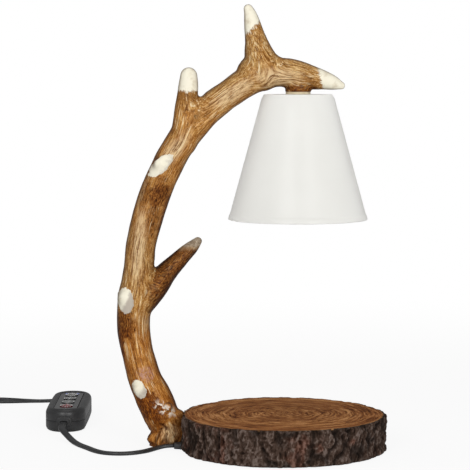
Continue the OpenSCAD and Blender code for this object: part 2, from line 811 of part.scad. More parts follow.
module shade() {
    rb = shade_bottom_d / 2;
    rt = shade_top_d / 2;
    slope = (rb - rt) / shade_h;
    hole = nipple_d / 2 + seat_clear;
    color("white") at_head(shade_z) rotate_extrude($fn = 180)
        polygon([
            [hole, shade_h], [rt, shade_h], [rb - slope * hem_h, hem_h],
            [rb - slope * hem_h + hem_proud, hem_h], [rb + hem_proud, 0.5], [rb, 0],
            [rb - shade_wall - hem_proud, 0], [rb - shade_wall - hem_proud, 0.6],
            [rb - slope * hem_h - shade_wall - hem_proud, hem_h],
            [rb - slope * hem_h - shade_wall, hem_h],
            [rt + slope * shade_wall - shade_wall, shade_h - shade_wall], [hole, shade_h - shade_wall]
        ]);
}

module shade_washer() {
    color("tan") at_head(nut_top_z) washer(nut_af + 6, fibre_t, nipple_d + 2 * seat_clear);
}

module shade_nut() {
    color("gold") at_head(cap_top_z) hex_nut();
}

module at_holder_screws(z) {
    for (s = [-1, 1])
        at_head(z) translate([0, s * holder_screw_at, 0]) children();
}

module holder_cap() {
    cap_r = ceramic_d / 2 + 0.2 + cap_wall;
    post_z = ceramic_z + ceramic_h + 0.1;
    color("silver") difference() {
        union() {
            at_head(cap_z) difference() {
                cylinder(r = cap_r, h = cap_h, $fn = fine);
                translate([0, 0, -cut])
                    cylinder(r = cap_r - cap_wall, h = cap_h - cap_top_t + cut, $fn = fine);
            }
            at_holder_screws(post_z) cylinder(r = 3, h = cap_top_z - post_z - 1, $fn = 48);
        }
        at_head(cap_z) cylinder(d = nipple_d + 2 * seat_clear, h = cap_h + cut, $fn = fine);
        at_holder_screws(post_z - cut) cylinder(r = holder_screw_r + seat_clear, h = 6, $fn = 48);
    }
}

// Opening for one pin: entry at the released angle, slot to the locked one
key_sides = 16;
module keyhole() {
    shank_r = pin_d / 2 + moving_clear;
    head_r = pin_head_d / 2 + moving_clear;
    pitch_r = pin_gap / 2;
    chamber_r = head_r + 0.1;
    spare = 2 + asin(chamber_r / pitch_r);
    rotate(-twist) translate([pitch_r, 0, -cut])
        cylinder(r = head_r, h = keyplate_t + 2 * cut, $fn = key_sides);
    rotate(-twist) translate([0, 0, -cut]) rotate_extrude(angle = twist, $fn = 3 * key_sides)
        translate([pitch_r - shank_r + 0.15, 0]) square([2 * shank_r - 0.3, keyplate_t + 2 * cut]);
    translate([pitch_r, 0, -cut]) cylinder(r = shank_r, h = keyplate_t + 2 * cut, $fn = key_sides);
    // Room for the head behind the key plate
    rotate(-twist - spare) translate([0, 0, keyplate_t])
        rotate_extrude(angle = twist + 2 * spare, $fn = 3 * key_sides)
            translate([pitch_r - chamber_r, 0]) square([2 * chamber_r, chamber_h]);
}

module holder_ceramic() {
    color("whitesmoke") difference() {
        at_head(ceramic_z) difference() {
            cylinder(d = ceramic_d, h = ceramic_h, $fn = 3 * key_sides);
            for (a = [0, 180])
                rotate(a) union() {
                    keyhole();
                    translate([tab_x - 0.6, -1.7, keyplate_t + 1]) cube([1.2, 3.4, ceramic_h]);
                }
        }
        at_holder_screws(ceramic_z - cut)
            cylinder(r = holder_screw_r + seat_clear, h = ceramic_h + 2 * cut, $fn = key_sides);
        at_holder_screws(ceramic_z - cut)
            cylinder(r = holder_screw_head_r + 0.1, h = holder_screw_head_h + 0.2 + cut, $fn = key_sides);
    }
}

module holder_contacts() {
    strip_z = ceramic_z + pin_l + contact_gap;
    color("gold") at_head(0) for (a = [0, 180])
        rotate(a) {
            translate([tab_x - 3.6, -1.4, strip_z]) cube([3.3, 2.8, contact_t]);
            translate([tab_x - 0.3, -1.4, strip_z]) cube([0.6, 2.8, tab_top_z - strip_z]);
        }
}

module holder_screws() {
    color("silver") at_holder_screws(ceramic_z + 0.1 + holder_screw_head_h)
        pan_screw(holder_screw_r, ceramic_h + 2.5, holder_screw_head_r, holder_screw_head_h);
}

// Bulb, hanging with its pins up

neck_r = bulb_base_d / 2 + glass_wall + seat_clear;
function bowl_r(t, wall) = neck_r + (bulb_d / 2 - neck_r) * sqrt(1 - t) - wall;
bowl_z = 4;
bowl_h = bulb_l - bulb_base_h - bowl_z + 1.5;
glass_seat = 1.2;

module bulb_base() {
    color("whitesmoke") at_head(ceramic_z - bulb_base_h) difference() {
        cylinder(d = bulb_base_d, h = bulb_base_h - 0.1, $fn = fine);
        translate([0, 0, -cut]) cylinder(d = 9, h = 5 + cut, $fn = 48);
        for (s = [-1, 1])
            translate([s * pin_gap / 2, 0, bulb_base_h - 3])
                cylinder(d = pin_d + 2 * seat_clear, h = 4, $fn = 48);
    }
}

module bulb_pins() {
    color("silver") at_head(ceramic_z) for (s = [-1, 1])
        translate([s * pin_gap / 2, 0, 0]) {
            translate([0, 0, -3]) cylinder(d = pin_d, h = pin_l + 3 - pin_head_h + 0.01, $fn = 48);
            translate([0, 0, pin_l - pin_head_h]) cylinder(d = pin_head_d, h = pin_head_h, $fn = 48);
        }
}

module bulb_reflector() {
    steps = 14;
    rim = bulb_d / 2;
    glass_r = rim - glass_wall;
    outer = [for (i = [0:steps]) [bowl_r(i / steps, 0), bowl_z + bowl_h * i / steps]];
    inner = [for (i = [steps:-1:0]) [bowl_r(i / steps, glass_wall), bowl_z + bowl_h * i / steps]];
    color("lightgray") at_head(bulb_z) rotate_extrude($fn = fine)
        polygon(concat([[rim, 0]], outer, inner, [[glass_r - 1.2, 3], [glass_r, 3], [glass_r, 0]]));
}

module bulb_glass() {
    color([0.8, 0.9, 1, 0.4]) at_head(bulb_z + 0.4)
        cylinder(r = bulb_d / 2 - glass_wall - seat_clear, h = 2.5, $fn = fine);
}

capsule_z = bulb_l - bulb_base_h - 16;

module bulb_capsule() {
    color([0.9, 0.9, 1, 0.4]) at_head(bulb_z + capsule_z) {
        difference() {
            union() {
                translate([0, 0, 4.2]) sphere(r = 4.2, $fn = 64);
                translate([0, 0, 4.2]) cylinder(r = 4.2, h = 9, $fn = 64);
            }
            translate([0, 0, 4.2]) sphere(r = 3.4, $fn = 64);
            translate([0, 0, 4.2]) cylinder(r = 3.4, h = 7.4, $fn = 64);
        }
        translate([0, 0, 13]) cylinder(r = 4.2, h = 7.6, $fn = 64);
    }
}

module bulb_filament() {
    color("darkgray") at_head(bulb_z + capsule_z) {
        translate([-2, 0, 6]) rotate([0, 90, 0]) cylinder(r = 0.45, h = 4, $fn = 24);
        for (s = [-1, 1])
            translate([s * 1.6, 0, 6]) cylinder(r = 0.2, h = 5.5, $fn = 16);
    }
}

// Controller, drawn about its own centre and laid on the table

module at_controller() {
    translate(ctl_at) children();
}

module at_posts(z) {
    for (x = [-post_x, post_x], y = [-post_y, post_y])
        translate([x, y, z]) children();
}

module relief_cut() {
    for (a = [0, 180])
        rotate(a) translate([0, 0, split_z]) {
            translate([0, 40, 0]) pill_bar(9.2, 6.4, ctl_l);
            translate([0, relief_y - 0.1, 0]) pill_bar(12.8, 8.8, ctl_l);
        }
}

module controller_bottom() {
    post_h = board_z - ctl_wall;
    color([0.16, 0.16, 0.17]) at_controller() difference() {
        union() {
            difference() {
                hull() {
                    stadium(ctl_l - 5, ctl_w - 5, 0.1);
                    translate([0, 0, 1.2]) stadium(ctl_l - 1.6, ctl_w - 1.6, 0.1);
                    translate([0, 0, 3.4]) stadium(ctl_l, ctl_w, split_z - 3.4);
                }
                translate([0, 0, ctl_wall]) stadium(ctl_l - 2 * ctl_wall, ctl_w - 2 * ctl_wall, ctl_h);
            }
            at_posts(1) cylinder(d = post_d, h = split_z - 1.1, $fn = 48);
            for (y = [-36, 36])
                translate([-3, y - 2, 1]) cube([6, 4, ctl_wall - 1 + post_h]);
        }
        at_posts(-cut) cylinder(d = ctl_screw_d + 2 * seat_clear, h = ctl_h, $fn = 48);
        at_posts(-cut) cylinder(d = 4.4, h = cut + 2, $fn = 48);
        relief_cut();
    }
}

module controller_top() {
    inner_h = face_z - shelf_t - split_z;
    color([0.16, 0.16, 0.17]) at_controller() difference() {
        union() {
            difference() {
                hull() {
                    translate([0, 0, split_z]) stadium(ctl_l, ctl_w, ctl_h - split_z - 3.2);
                    translate([0, 0, ctl_h - 1.1]) stadium(ctl_l - 2.4, ctl_w - 2.4, 0.1);
                    translate([0, 0, ctl_h - 0.1]) stadium(ctl_l - 6.4, ctl_w - 6.4, 0.1);
                }
                translate([0, 0, split_z - cut])
                    stadium(ctl_l - 2 * ctl_wall, ctl_w - 2 * ctl_wall, inner_h + cut);
            }
            at_posts(split_z) cylinder(d = post_d, h = inner_h + 0.5, $fn = 48);
        }
        translate([0, 0, face_z]) stadium(face_l + 0.2, face_w + 0.2, ctl_h);
        for (y = button_rows)
            translate([0, y, split_z])
                cylinder(d = button_d + 2 * flange_w + 2 * moving_clear, h = ctl_h, $fn = 64);
        for (x = [-light_gap, 0, light_gap])
            translate([x, light_row, split_z]) cylinder(d = light_d + 0.4, h = ctl_h, $fn = 32);
        translate([0, red_row, split_z]) cylinder(d = light_d + 0.4, h = ctl_h, $fn = 32);
        at_posts(split_z - cut) cylinder(d = ctl_screw_d + 2 * seat_clear, h = 5 + cut, $fn = 48);
        relief_cut();
    }
}

module controller_face() {
    color([0.08, 0.08, 0.08]) at_controller() difference() {
        translate([0, 0, face_z]) stadium(face_l, face_w, face_t);
        for (y = button_rows)
            translate([0, y, 0]) cylinder(d = button_d + 2 * moving_clear, h = ctl_h, $fn = 64);
        for (x = [-light_gap, 0, light_gap])
            translate([x, light_row, 0]) cylinder(d = light_d + 2 * seat_clear, h = ctl_h, $fn = 32);
        translate([0, red_row, 0]) cylinder(d = light_d + 2 * seat_clear, h = ctl_h, $fn = 32);
    }
}

module button(row) {
    color([0.1, 0.1, 0.1]) at_controller() translate([0, row, 0]) {
        translate([0, 0, flange_z + flange_t - 0.01])
            cylinder(d = button_d, h = face_top_z + button_proud - flange_z - flange_t + 0.01, $fn = 64);
        translate([0, 0, flange_z]) cylinder(d = button_d + 2 * flange_w, h = flange_t, $fn = 64);
        translate([0, 0, stem_z]) cylinder(d = plunger_d, h = stem_h + 0.01, $fn = 32);
    }
}

module plunger(row) {
    color("dimgray") at_controller() translate([0, row, stem_z - plunger_h])
        cylinder(d = plunger_d, h = plunger_h, $fn = 32);
}

module button_timer() {
    button(button_rows[0]);
}

module button_brighter() {
    button(button_rows[1]);
}

module button_dimmer() {
    button(button_rows[2]);
}

module button_power() {
    button(button_rows[3]);
}

module plunger_timer() {
    plunger(button_rows[0]);
}

module plunger_brighter() {
    plunger(button_rows[1]);
}

module plunger_dimmer() {
    plunger(button_rows[2]);
}

module plunger_power() {
    plunger(button_rows[3]);
}

module tact_switches() {
    bore_z = stem_z - plunger_h - button_travel - 0.1;
    color("silver") at_controller() for (y = button_rows)
        difference() {
            translate([-switch_w / 2, y - switch_w / 2, board_top_z])
                cube([switch_w, switch_w, switch_top_z - board_top_z]);
            translate([0, y, bore_z]) cylinder(d = plunger_d + 2 * seat_clear, h = ctl_h, $fn = 32);
        }
}

module controller_board() {
    color("darkgreen") at_controller() translate([0, 0, board_z]) stadium(board_l, board_w, board_t);
}

module controller_leads() {
    lead_y = board_l / 2 - 3;
    lead_l = relief_flange_y - lead_y - end_gap;
    color("white") at_controller() for (a = [0, 180], x = [-1.35, 1.35])
        rotate(a) translate([x, lead_y, board_top_z + core_r]) rotate([-90, 0, 0])
            cylinder(r = core_r, h = lead_l, $fn = 24);
}

module light_pipe(x, y) {
    translate([x, y, board_top_z]) cylinder(d = light_d, h = face_top_z + 0.1 - board_top_z, $fn = 32);
}

module lights_blue() {
    color("royalblue") at_controller() for (x = [-light_gap, 0, light_gap])
        light_pipe(x, light_row);
}

module light_red() {
    color("firebrick") at_controller() light_pipe(0, red_row);
}

module controller_screws() {
    color("silver") at_controller() at_posts(2) pan_screw(ctl_screw_d / 2, 11, 2.1, 1.6);
}

// Strain relief: flange inside the wall, neck, two steps and a tapered nose

module relief() {
    color([0.14, 0.14, 0.15]) translate([0, 0, split_z]) difference() {
        union() {
            translate([0, relief_flange_y, 0]) pill_bar(10, 7.6, relief_flange);
            translate([0, relief_flange_y, 0]) pill_bar(9, 6.2, relief_y - relief_flange_y + 0.1);
            translate([0, relief_y, 0]) pill_bar(12.6, 8.6, relief_step);
            translate([0, relief_y, 0]) pill_bar(9.2, 6.6, 2 * relief_step);
            hull() {
                translate([0, relief_y + 2 * relief_step - 0.1, 0]) pill_bar(8.6, 6, 0.1);
                translate([0, relief_end - 0.1, 0]) pill_bar(cord_w + 1.4, cord_t + 1.4, 0.1);
            }
        }
        translate([0, 40, 0]) pill_bar(relief_bore_w, relief_bore_t, ctl_l);
    }
}

module relief_lamp_side() {
    at_controller() rotate(180) relief();
}

module relief_mains_side() {
    at_controller() relief();
}

// Free cord

module cord_lamp_side() {
    color([0.12, 0.12, 0.12])
        tube([for (i = [0:len(lamp_route) - 1]) ring(lamp_route, i, flat_section, [0, 0, 1])]);
}

// The flat cord turns on edge on its way into the coil
module cord_mains_side() {
    n = len(mains_route) - 1;
    color([0.12, 0.12, 0.12])
        tube([for (i = [0:n]) ring(mains_route, i, flat_section, [0, 0, 1], 90 * ramp((i - 9) / 5))]);
}

// Coil: spirals in and out again at a steady rate, and climbs a layer in the half turn
// where the spiral turns round
function coil_radius(turn) = coil_out - coil_pitch * min(turn, coil_turns - turn);
function coil_height(turn) = coil_low + coil_rise * ramp(2 * (turn - coil_turns / 2) + 0.5);
function coil_point(turn) =
    let (a = 90 + 360 * turn)
        coil_at + [coil_radius(turn) * cos(a), coil_radius(turn) * sin(a), coil_height(turn)];
coil_count = round(coil_turns * coil_steps);
coil_turned = [for (i = [0:coil_count]) coil_point(coil_turns * i / coil_count)];
coil_path = concat(
    [coil_turned[0] + [cord_w, 0, 0]],
    coil_turned,
    [coil_turned[coil_count] - [0, cord_w, 0]]
);

// Least gap between turns, on the path's points: from each to those more than half a turn on,
// less the section's reach that way
function coil_gap(i, j) =
    let (
        step = coil_turned[j] - coil_turned[i],
        flat = norm([step[0], step[1]]),
        rise = abs(step[2]),
        reach = norm([flat / cord_t, rise / cord_w])
    )
    norm(step) * (1 - 1 / reach);
coil_gaps = [
    for (i = [0:2:coil_count], j = [i + coil_steps / 2:1:coil_count]) coil_gap(i, j)
];
echo(least_coil_gap = min(coil_gaps));

module cord_coil() {
    color([0.12, 0.12, 0.12])
        tube([for (i = [0:len(coil_path) - 1]) ring(coil_path, i, coil_section, [0, 0, 1])]);
}

coil_end = coil_path[len(coil_path) - 1];
tail_route = [for (p = tail_points) coil_end + p];
tail_end = tail_route[len(tail_route) - 1];

module cord_tail() {
    color([0.12, 0.12, 0.12])
        tube([
            for (i = [0:len(tail_route) - 1])
                ring(tail_route, i, flat_section, [0, 0, 1], 90 - 90 * ramp((i - 1) / 5))
        ]);
}

module coil_tie() {
    span = coil_pitch * coil_turns / 2 + cord_t + 2 * tie_gap;
    rise = coil_rise + cord_w + tie_gap + 0.1;
    color([0.2, 0.2, 0.2]) translate(coil_at) rotate(tie_angle) translate([coil_d / 2, 0, 0])
        difference() {
            translate([-span / 2 - tie_t, -tie_w / 2, 0]) cube([span + 2 * tie_t, tie_w, rise + tie_t]);
            translate([-span / 2, -tie_w, 0.05]) cube([span, 2 * tie_w, rise - 0.05]);
        }
}

module at_plug() {
    translate([tail_end[0], tail_end[1] - end_gap, plug_t / 2]) rotate(180) children();
}

module plug_body() {
    lead = tail_end[2] - plug_t / 2;
    color([0.12, 0.12, 0.12]) at_plug() difference() {
        union() {
            hull() {
                translate([0, 0, lead]) pill_bar(cord_w + 2, cord_t + 2, 0.2);
                translate([0, plug_relief, 0]) pill_bar(13, 9, 0.2);
            }
            hull() {
                translate([-plug_w / 2 + 2, plug_relief + 6, -plug_t / 2])
                    cube([plug_w - 4, plug_l - 8, plug_t]);
                translate([-plug_w / 2, plug_relief + 8, -plug_t / 2 + 2])
                    cube([plug_w, plug_l - 10, plug_t - 4]);
                translate([0, plug_relief, 0]) pill_bar(15, 10, 0.2);
                translate([-plug_w / 2 + 1, plug_relief + plug_l - 0.2, -plug_t / 2 + 1])
                    cube([plug_w - 2, 0.2, plug_t - 2]);
            }
        }
        for (s = [-1, 1])
            translate([s * blade_gap / 2 - blade_t / 2, plug_relief + plug_l - 10, -blade_w / 2])
                translate([-0.05, 0, -0.05]) cube([blade_t + 0.1, 12, blade_w + 0.1]);
    }
}

module plug_blades() {
    color("silver") at_plug() for (s = [-1, 1])
        translate([s * blade_gap / 2 - blade_t / 2, plug_relief + plug_l - 10, -blade_w / 2])
            cube([blade_t, 10 + blade_l, blade_w]);
}

log_slice();
bottom_plate();
base_felt();
plate_screws();
ballast_plate();
cord_clamp();
clamp_screws();
cord_bushing();
wire_connectors();
supply_lead();
antler();
armature_tube();
thread_inserts();
foot_nipple();
foot_washer();
foot_nut();
foot_dowel();
lamp_lead();
head_nipple();
stub_washer();
shade();
shade_washer();
shade_nut();
holder_cap();
holder_ceramic();
holder_contacts();
holder_screws();
bulb_base();
bulb_pins();
bulb_reflector();
bulb_glass();
bulb_capsule();
bulb_filament();
controller_bottom();
controller_top();
controller_face();
button_timer();
button_brighter();
button_dimmer();
button_power();
plunger_timer();
plunger_brighter();
plunger_dimmer();
plunger_power();
tact_switches();
controller_board();
controller_leads();
lights_blue();
light_red();
controller_screws();
relief_lamp_side();
relief_mains_side();
cord_lamp_side();
cord_mains_side();
cord_coil();
cord_tail();
coil_tie();
plug_body();
plug_blades();
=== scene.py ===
import math

import bpy
import numpy as np
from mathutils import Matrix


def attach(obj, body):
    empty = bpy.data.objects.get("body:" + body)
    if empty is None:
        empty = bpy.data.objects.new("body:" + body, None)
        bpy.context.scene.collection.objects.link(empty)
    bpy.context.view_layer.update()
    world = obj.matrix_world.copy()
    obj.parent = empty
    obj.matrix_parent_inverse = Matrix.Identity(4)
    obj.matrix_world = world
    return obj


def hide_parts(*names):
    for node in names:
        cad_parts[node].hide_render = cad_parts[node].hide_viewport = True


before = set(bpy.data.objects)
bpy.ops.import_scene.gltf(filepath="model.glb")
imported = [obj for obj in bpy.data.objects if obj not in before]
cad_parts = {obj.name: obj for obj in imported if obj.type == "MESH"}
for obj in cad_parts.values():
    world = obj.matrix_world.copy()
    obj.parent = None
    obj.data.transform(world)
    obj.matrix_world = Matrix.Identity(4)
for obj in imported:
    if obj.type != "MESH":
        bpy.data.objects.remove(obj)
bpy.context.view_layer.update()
mm = 0.001
scene = bpy.context.scene


# Vectors cut to length one.
def unit(v):
    return v / np.maximum(np.linalg.norm(v, axis=-1, keepdims=True), 1e-12)


# A step with no corners: 3t squared less 2t cubed, 0 before the first value and 1 past the second.
def smooth(a, b, x):
    t = np.clip((np.asarray(x, float) - a) / (b - a), 0, 1)
    return t * t * (3 - 2 * t)


# Even angles round a circle.
def angles(count):
    return np.linspace(0, 2 * np.pi, count, endpoint=False)


# A circle: the radius times the cosine and the sine of each angle.
def circle(radius, count):
    a = angles(count)
    return np.stack([radius * np.cos(a), radius * np.sin(a)], -1)


# The same curve with its points an even step apart along it.
def evenly(curve, step):
    run = np.concatenate([[0], np.cumsum(np.linalg.norm(np.diff(curve[:, :3], axis=0), axis=1))])
    at = np.linspace(0, run[-1], max(int(round(run[-1] / step)), 2) + 1)
    return np.stack([np.interp(at, run, curve[:, i]) for i in range(curve.shape[1])], 1)


# A centripetal Catmull-Rom curve: each span is blended from straight lines through its four
# nearest points, with knots at the square root of their distance. Extra columns ride along.
def curveThrough(points, step, perSpan=24):
    p = np.asarray(points, float)
    q = np.vstack([[2 * p[0] - p[1]], p, [2 * p[-1] - p[-2]]])
    gaps = np.linalg.norm(np.diff(q[:, :3], axis=0), axis=1)
    t = np.concatenate([[0], np.cumsum(np.maximum(gaps, 1e-9) ** 0.5)])
    k = np.arange(1, len(p))
    t0, t1, t2, t3 = (t[k + o][:, None, None] for o in (-1, 0, 1, 2))
    p0, p1, p2, p3 = (q[k + o][:, None, :] for o in (-1, 0, 1, 2))
    x = t1 + (t2 - t1) * np.linspace(0, 1, perSpan, endpoint=False)[None, :, None]
    a1 = ((t1 - x) * p0 + (x - t0) * p1) / (t1 - t0)
    a2 = ((t2 - x) * p1 + (x - t1) * p2) / (t2 - t1)
    a3 = ((t3 - x) * p2 + (x - t2) * p3) / (t3 - t2)
    b1 = ((t2 - x) * a1 + (x - t0) * a2) / (t2 - t0)
    b2 = ((t3 - x) * a2 + (x - t1) * a3) / (t3 - t1)
    curve = ((t2 - x) * b1 + (x - t1) * b2) / (t2 - t1)
    return evenly(np.vstack([curve.reshape(-1, p.shape[1]), p[-1:]]), step)


# A profile carried along a path: its first axis lies beside the path, square to it and to the
# reference direction, its second stands up from both, and the roll turns them about the path.
def carried(path, profile, roll=0, ref=(0, 0, 1)):
    along = unit(np.gradient(path, axis=0))
    side = unit(np.cross(along, np.asarray(ref, float)))
    up = np.cross(side, along)
    roll = np.broadcast_to(np.asarray(roll, float), (len(path),))[:, None]
    u = side * np.cos(roll) + up * np.sin(roll)
    v = up * np.cos(roll) - side * np.sin(roll)
    profile = np.asarray(profile, float)
    return path[:, None, :] + u[:, None, :] * profile[..., :1] + v[:, None, :] * profile[..., 1:2]


# Rows of points turned about an upright axis: each row is a circle of its own radius and height.
def lathe(rows, around=96, centre=(0, 0)):
    rows = np.asarray(rows, float)
    a = angles(around)
    r, z = rows[:, :1], rows[:, 1:2]
    return np.stack(np.broadcast_arrays(centre[0] + r * np.cos(a), centre[1] + r * np.sin(a), z), -1)


# One profile widened and thickened row by row, each row put in its place along an axis.
def sections(profile, rows, put):
    return np.stack([
        np.stack(put(profile[:, 0] * wide, profile[:, 1] * thick, at + 0 * profile[:, 0]), -1)
        for wide, thick, at in rows])


# Rows of level stadiums, a straight middle and two half circles: half width, half length and height.
def stadiums(rows, at, around=28, straight=14):
    wide, far, z = (np.asarray(rows, float)[:, i:i + 1] for i in range(3))
    a = np.linspace(0, np.pi, around + 1)
    s = np.linspace(1, -1, straight + 2)[1:-1]
    half = np.maximum(far - wide, 0)
    x = np.hstack([wide * np.cos(a), -wide + 0 * s, -wide * np.cos(a), wide + 0 * s])
    y = np.hstack([half + wide * np.sin(a), half * s, -half - wide * np.sin(a), -half * s])
    return np.stack([at[0] + x, at[1] + y, at[2] + z + 0 * x], -1)


# A corner of a profile rounded off: points on a circle from one angle to another.
def arc(centre, radius, fromAngle, toAngle, count=6):
    a = np.radians(np.linspace(fromAngle, toAngle, count))
    return [[centre[0] + radius * math.cos(t), centre[1] + radius * math.sin(t)] for t in a]


# A rounded flat profile: an ellipse raised to a power, with a dip along the middle of each side.
def flatProfile(width, thick, count=28, dip=0.0, power=0.6):
    a = angles(count)
    c, s = np.cos(a), np.sin(a)
    x = width / 2 * np.sign(c) * np.abs(c) ** power
    y = thick / 2 * np.sign(s) * np.abs(s) ** power
    return np.stack([x, y * (1 - dip * np.exp(-(x / (0.12 * width)) ** 2))], -1)


# Value noise: fixed scattered values at whole-number corners, blended smoothly between them.
def scattered(cell, seed):
    i, j, k = (cell[..., n].astype(np.int64).astype(np.uint32) for n in range(3))
    h = i * np.uint32(374761393) + j * np.uint32(668265263) + k * np.uint32(2147483647)
    h = h + np.uint32(seed * 974711 + 17)
    h = (h ^ (h >> np.uint32(13))) * np.uint32(1274126177)
    return ((h ^ (h >> np.uint32(16))) & np.uint32(0xFFFF)).astype(float) / 65535


# Each corner's value counts by how near the point lies to it, along all three axes.
def noiseAt(p, seed=0):
    cell = np.floor(p)
    f = p - cell
    f = f * f * (3 - 2 * f)
    total = 0
    for corner in range(8):
        o = np.array([corner & 1, corner >> 1 & 1, corner >> 2])
        total = total + np.prod(np.where(o, f, 1 - f), axis=-1) * scattered(cell + o, seed)
    return total


# Several noises added, each twice as fine and half as strong as the one before, about zero:
# from -0.5 to 0.5.
def layered(p, octaves, seed):
    parts = [noiseAt(p * 2.03 ** n, seed + n) * 0.5 ** n for n in range(octaves)]
    return sum(parts) / sum(0.5 ** n for n in range(octaves)) - 0.5


# The same noise folded: 0 along its middle value and up to 1 away from it.
def folded(p, octaves, seed):
    return np.abs(2 * layered(p, octaves, seed))


# A grid's quads. Its columns close round, and its rows too where they are joined.
def gridFaces(rows, columns, joinRows):
    r = np.arange(rows if joinRows else rows - 1)[:, None]
    c = np.arange(columns)[None, :]
    r2, c2 = (r + 1) % rows, (c + 1) % columns
    corners = [r * columns + c, r * columns + c2, r2 * columns + c2, r2 * columns + c]
    return np.stack(np.broadcast_arrays(*corners), -1).reshape(-1, 4)


# A mesh in the scene, with its body, its slot and the CAD nodes that it stands for.
def placed(name, mesh, finish, replaced, body):
    mesh.materials.clear()
    mesh.materials.append(finish.material)
    piece = bpy.data.objects.new(name, mesh)
    scene.collection.objects.link(piece)
    if body:
        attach(piece, body)
    if replaced:
        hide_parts(*replaced.split())
    return piece


# A piece from points in millimetres.
def makePiece(name, points, faces, finish, replaced="", body="lamp", flat=False):
    mesh = bpy.data.meshes.new(name)
    mesh.from_pydata((np.asarray(points, float).reshape(-1, 3) * mm).tolist(), [], faces)
    mesh.polygons.foreach_set("use_smooth", [not flat] * len(mesh.polygons))
    mesh.update()
    return placed(name, mesh, finish, replaced, body)


# The sign of a closed mesh's volume says whether its faces point outwards.
def volumeOf(points, faces):
    total = 0.0
    for size in (3, 4):
        group = np.array([f for f in faces if len(f) == size])
        if len(group):
            p = points[group]
            for second in range(1, size - 1):
                wedge = np.cross(p[:, second], p[:, second + 1])
                total += np.einsum("ij,ij->i", p[:, 0], wedge).sum() / 6
    return total


# Grids become one mesh: quads between rows, and a fan to the middle of an end row unless joined.
def gridsPiece(name, grids, finish, replaced="", body="lamp", joinRows=False, flat=False):
    allPoints, allFaces, start = [], [], 0
    for grid, joined in zip(grids, np.broadcast_to(joinRows, len(grids))):
        rows, columns = grid.shape[:2]
        points = grid.reshape(-1, 3)
        faces = gridFaces(rows, columns, joined).tolist()
        if not joined:
            first = np.arange(columns)
            for ring, way in ((first, -1), (first + (rows - 1) * columns, 1)):
                centre = len(points)
                points = np.vstack([points, points[ring].mean(0)])
                pair = np.stack([ring, np.roll(ring, -1)], 1)[:, ::way]
                faces += np.hstack([pair, np.full((columns, 1), centre)]).tolist()
        if volumeOf(points, faces) < 0:
            faces = [f[::-1] for f in faces]
        allPoints.append(points)
        allFaces += [[i + start for i in f] for f in faces]
        start += len(points)
    return makePiece(name, np.vstack(allPoints), allFaces, finish, replaced, body, flat)


# Numbers or vectors kept at a piece's points, for its finish to read.
def vertexData(piece, layers):
    for name, values in layers.items():
        kind, field = ("FLOAT_VECTOR", "vector") if values.ndim == 2 else ("FLOAT", "value")
        layer = piece.data.attributes.new(name, kind, "POINT")
        layer.data.foreach_set(field, np.ascontiguousarray(values, np.float32).ravel())


# Short names for the shader's sockets.
socketNames = {
    "colour": "Base Color", "rough": "Roughness", "metal": "Metallic", "ior": "IOR", "normal": "Normal",
    "coat": "Coat Weight", "coatRough": "Coat Roughness", "sheen": "Sheen Weight",
    "transmission": "Transmission Weight", "specular": "Specular IOR Level",
    "diffuseRough": "Diffuse Roughness", "glow": "Emission Color", "glowStrength": "Emission Strength",
}


# A node tree, and short calls that add nodes to it.
class Nodes:
    def __init__(self, tree):
        self.tree = tree

    def plug(self, socket, value):
        if isinstance(value, bpy.types.NodeSocket):
            self.tree.links.new(value, socket)
        elif socket.type == "RGBA":
            socket.default_value = (*value[:3], 1)
        else:
            socket.default_value = value

    def node(self, kind, inputs=None, **fields):
        made = self.tree.nodes.new(kind)
        for key, value in fields.items():
            setattr(made, key, value)
        for key, value in (inputs or {}).items():
            self.plug(made.inputs[key], value)
        return made

    def calc(self, kind, a, b):
        return self.node("ShaderNodeMath", {0: a, 1: b}, operation=kind).outputs[0]

    def times(self, a, b):
        return self.calc("MULTIPLY", a, b)

    def plus(self, a, b):
        return self.calc("ADD", a, b)

    # A noise moved to swing about zero.
    def swing(self, value, strength):
        return self.times(self.calc("SUBTRACT", value, 0.5), strength)

    # 1 for what the camera sees straight or through glass.
    def seen(self):
        rays = self.node("ShaderNodeLightPath").outputs
        return self.calc("MAXIMUM", rays["Is Camera Ray"], rays["Is Transmission Ray"])


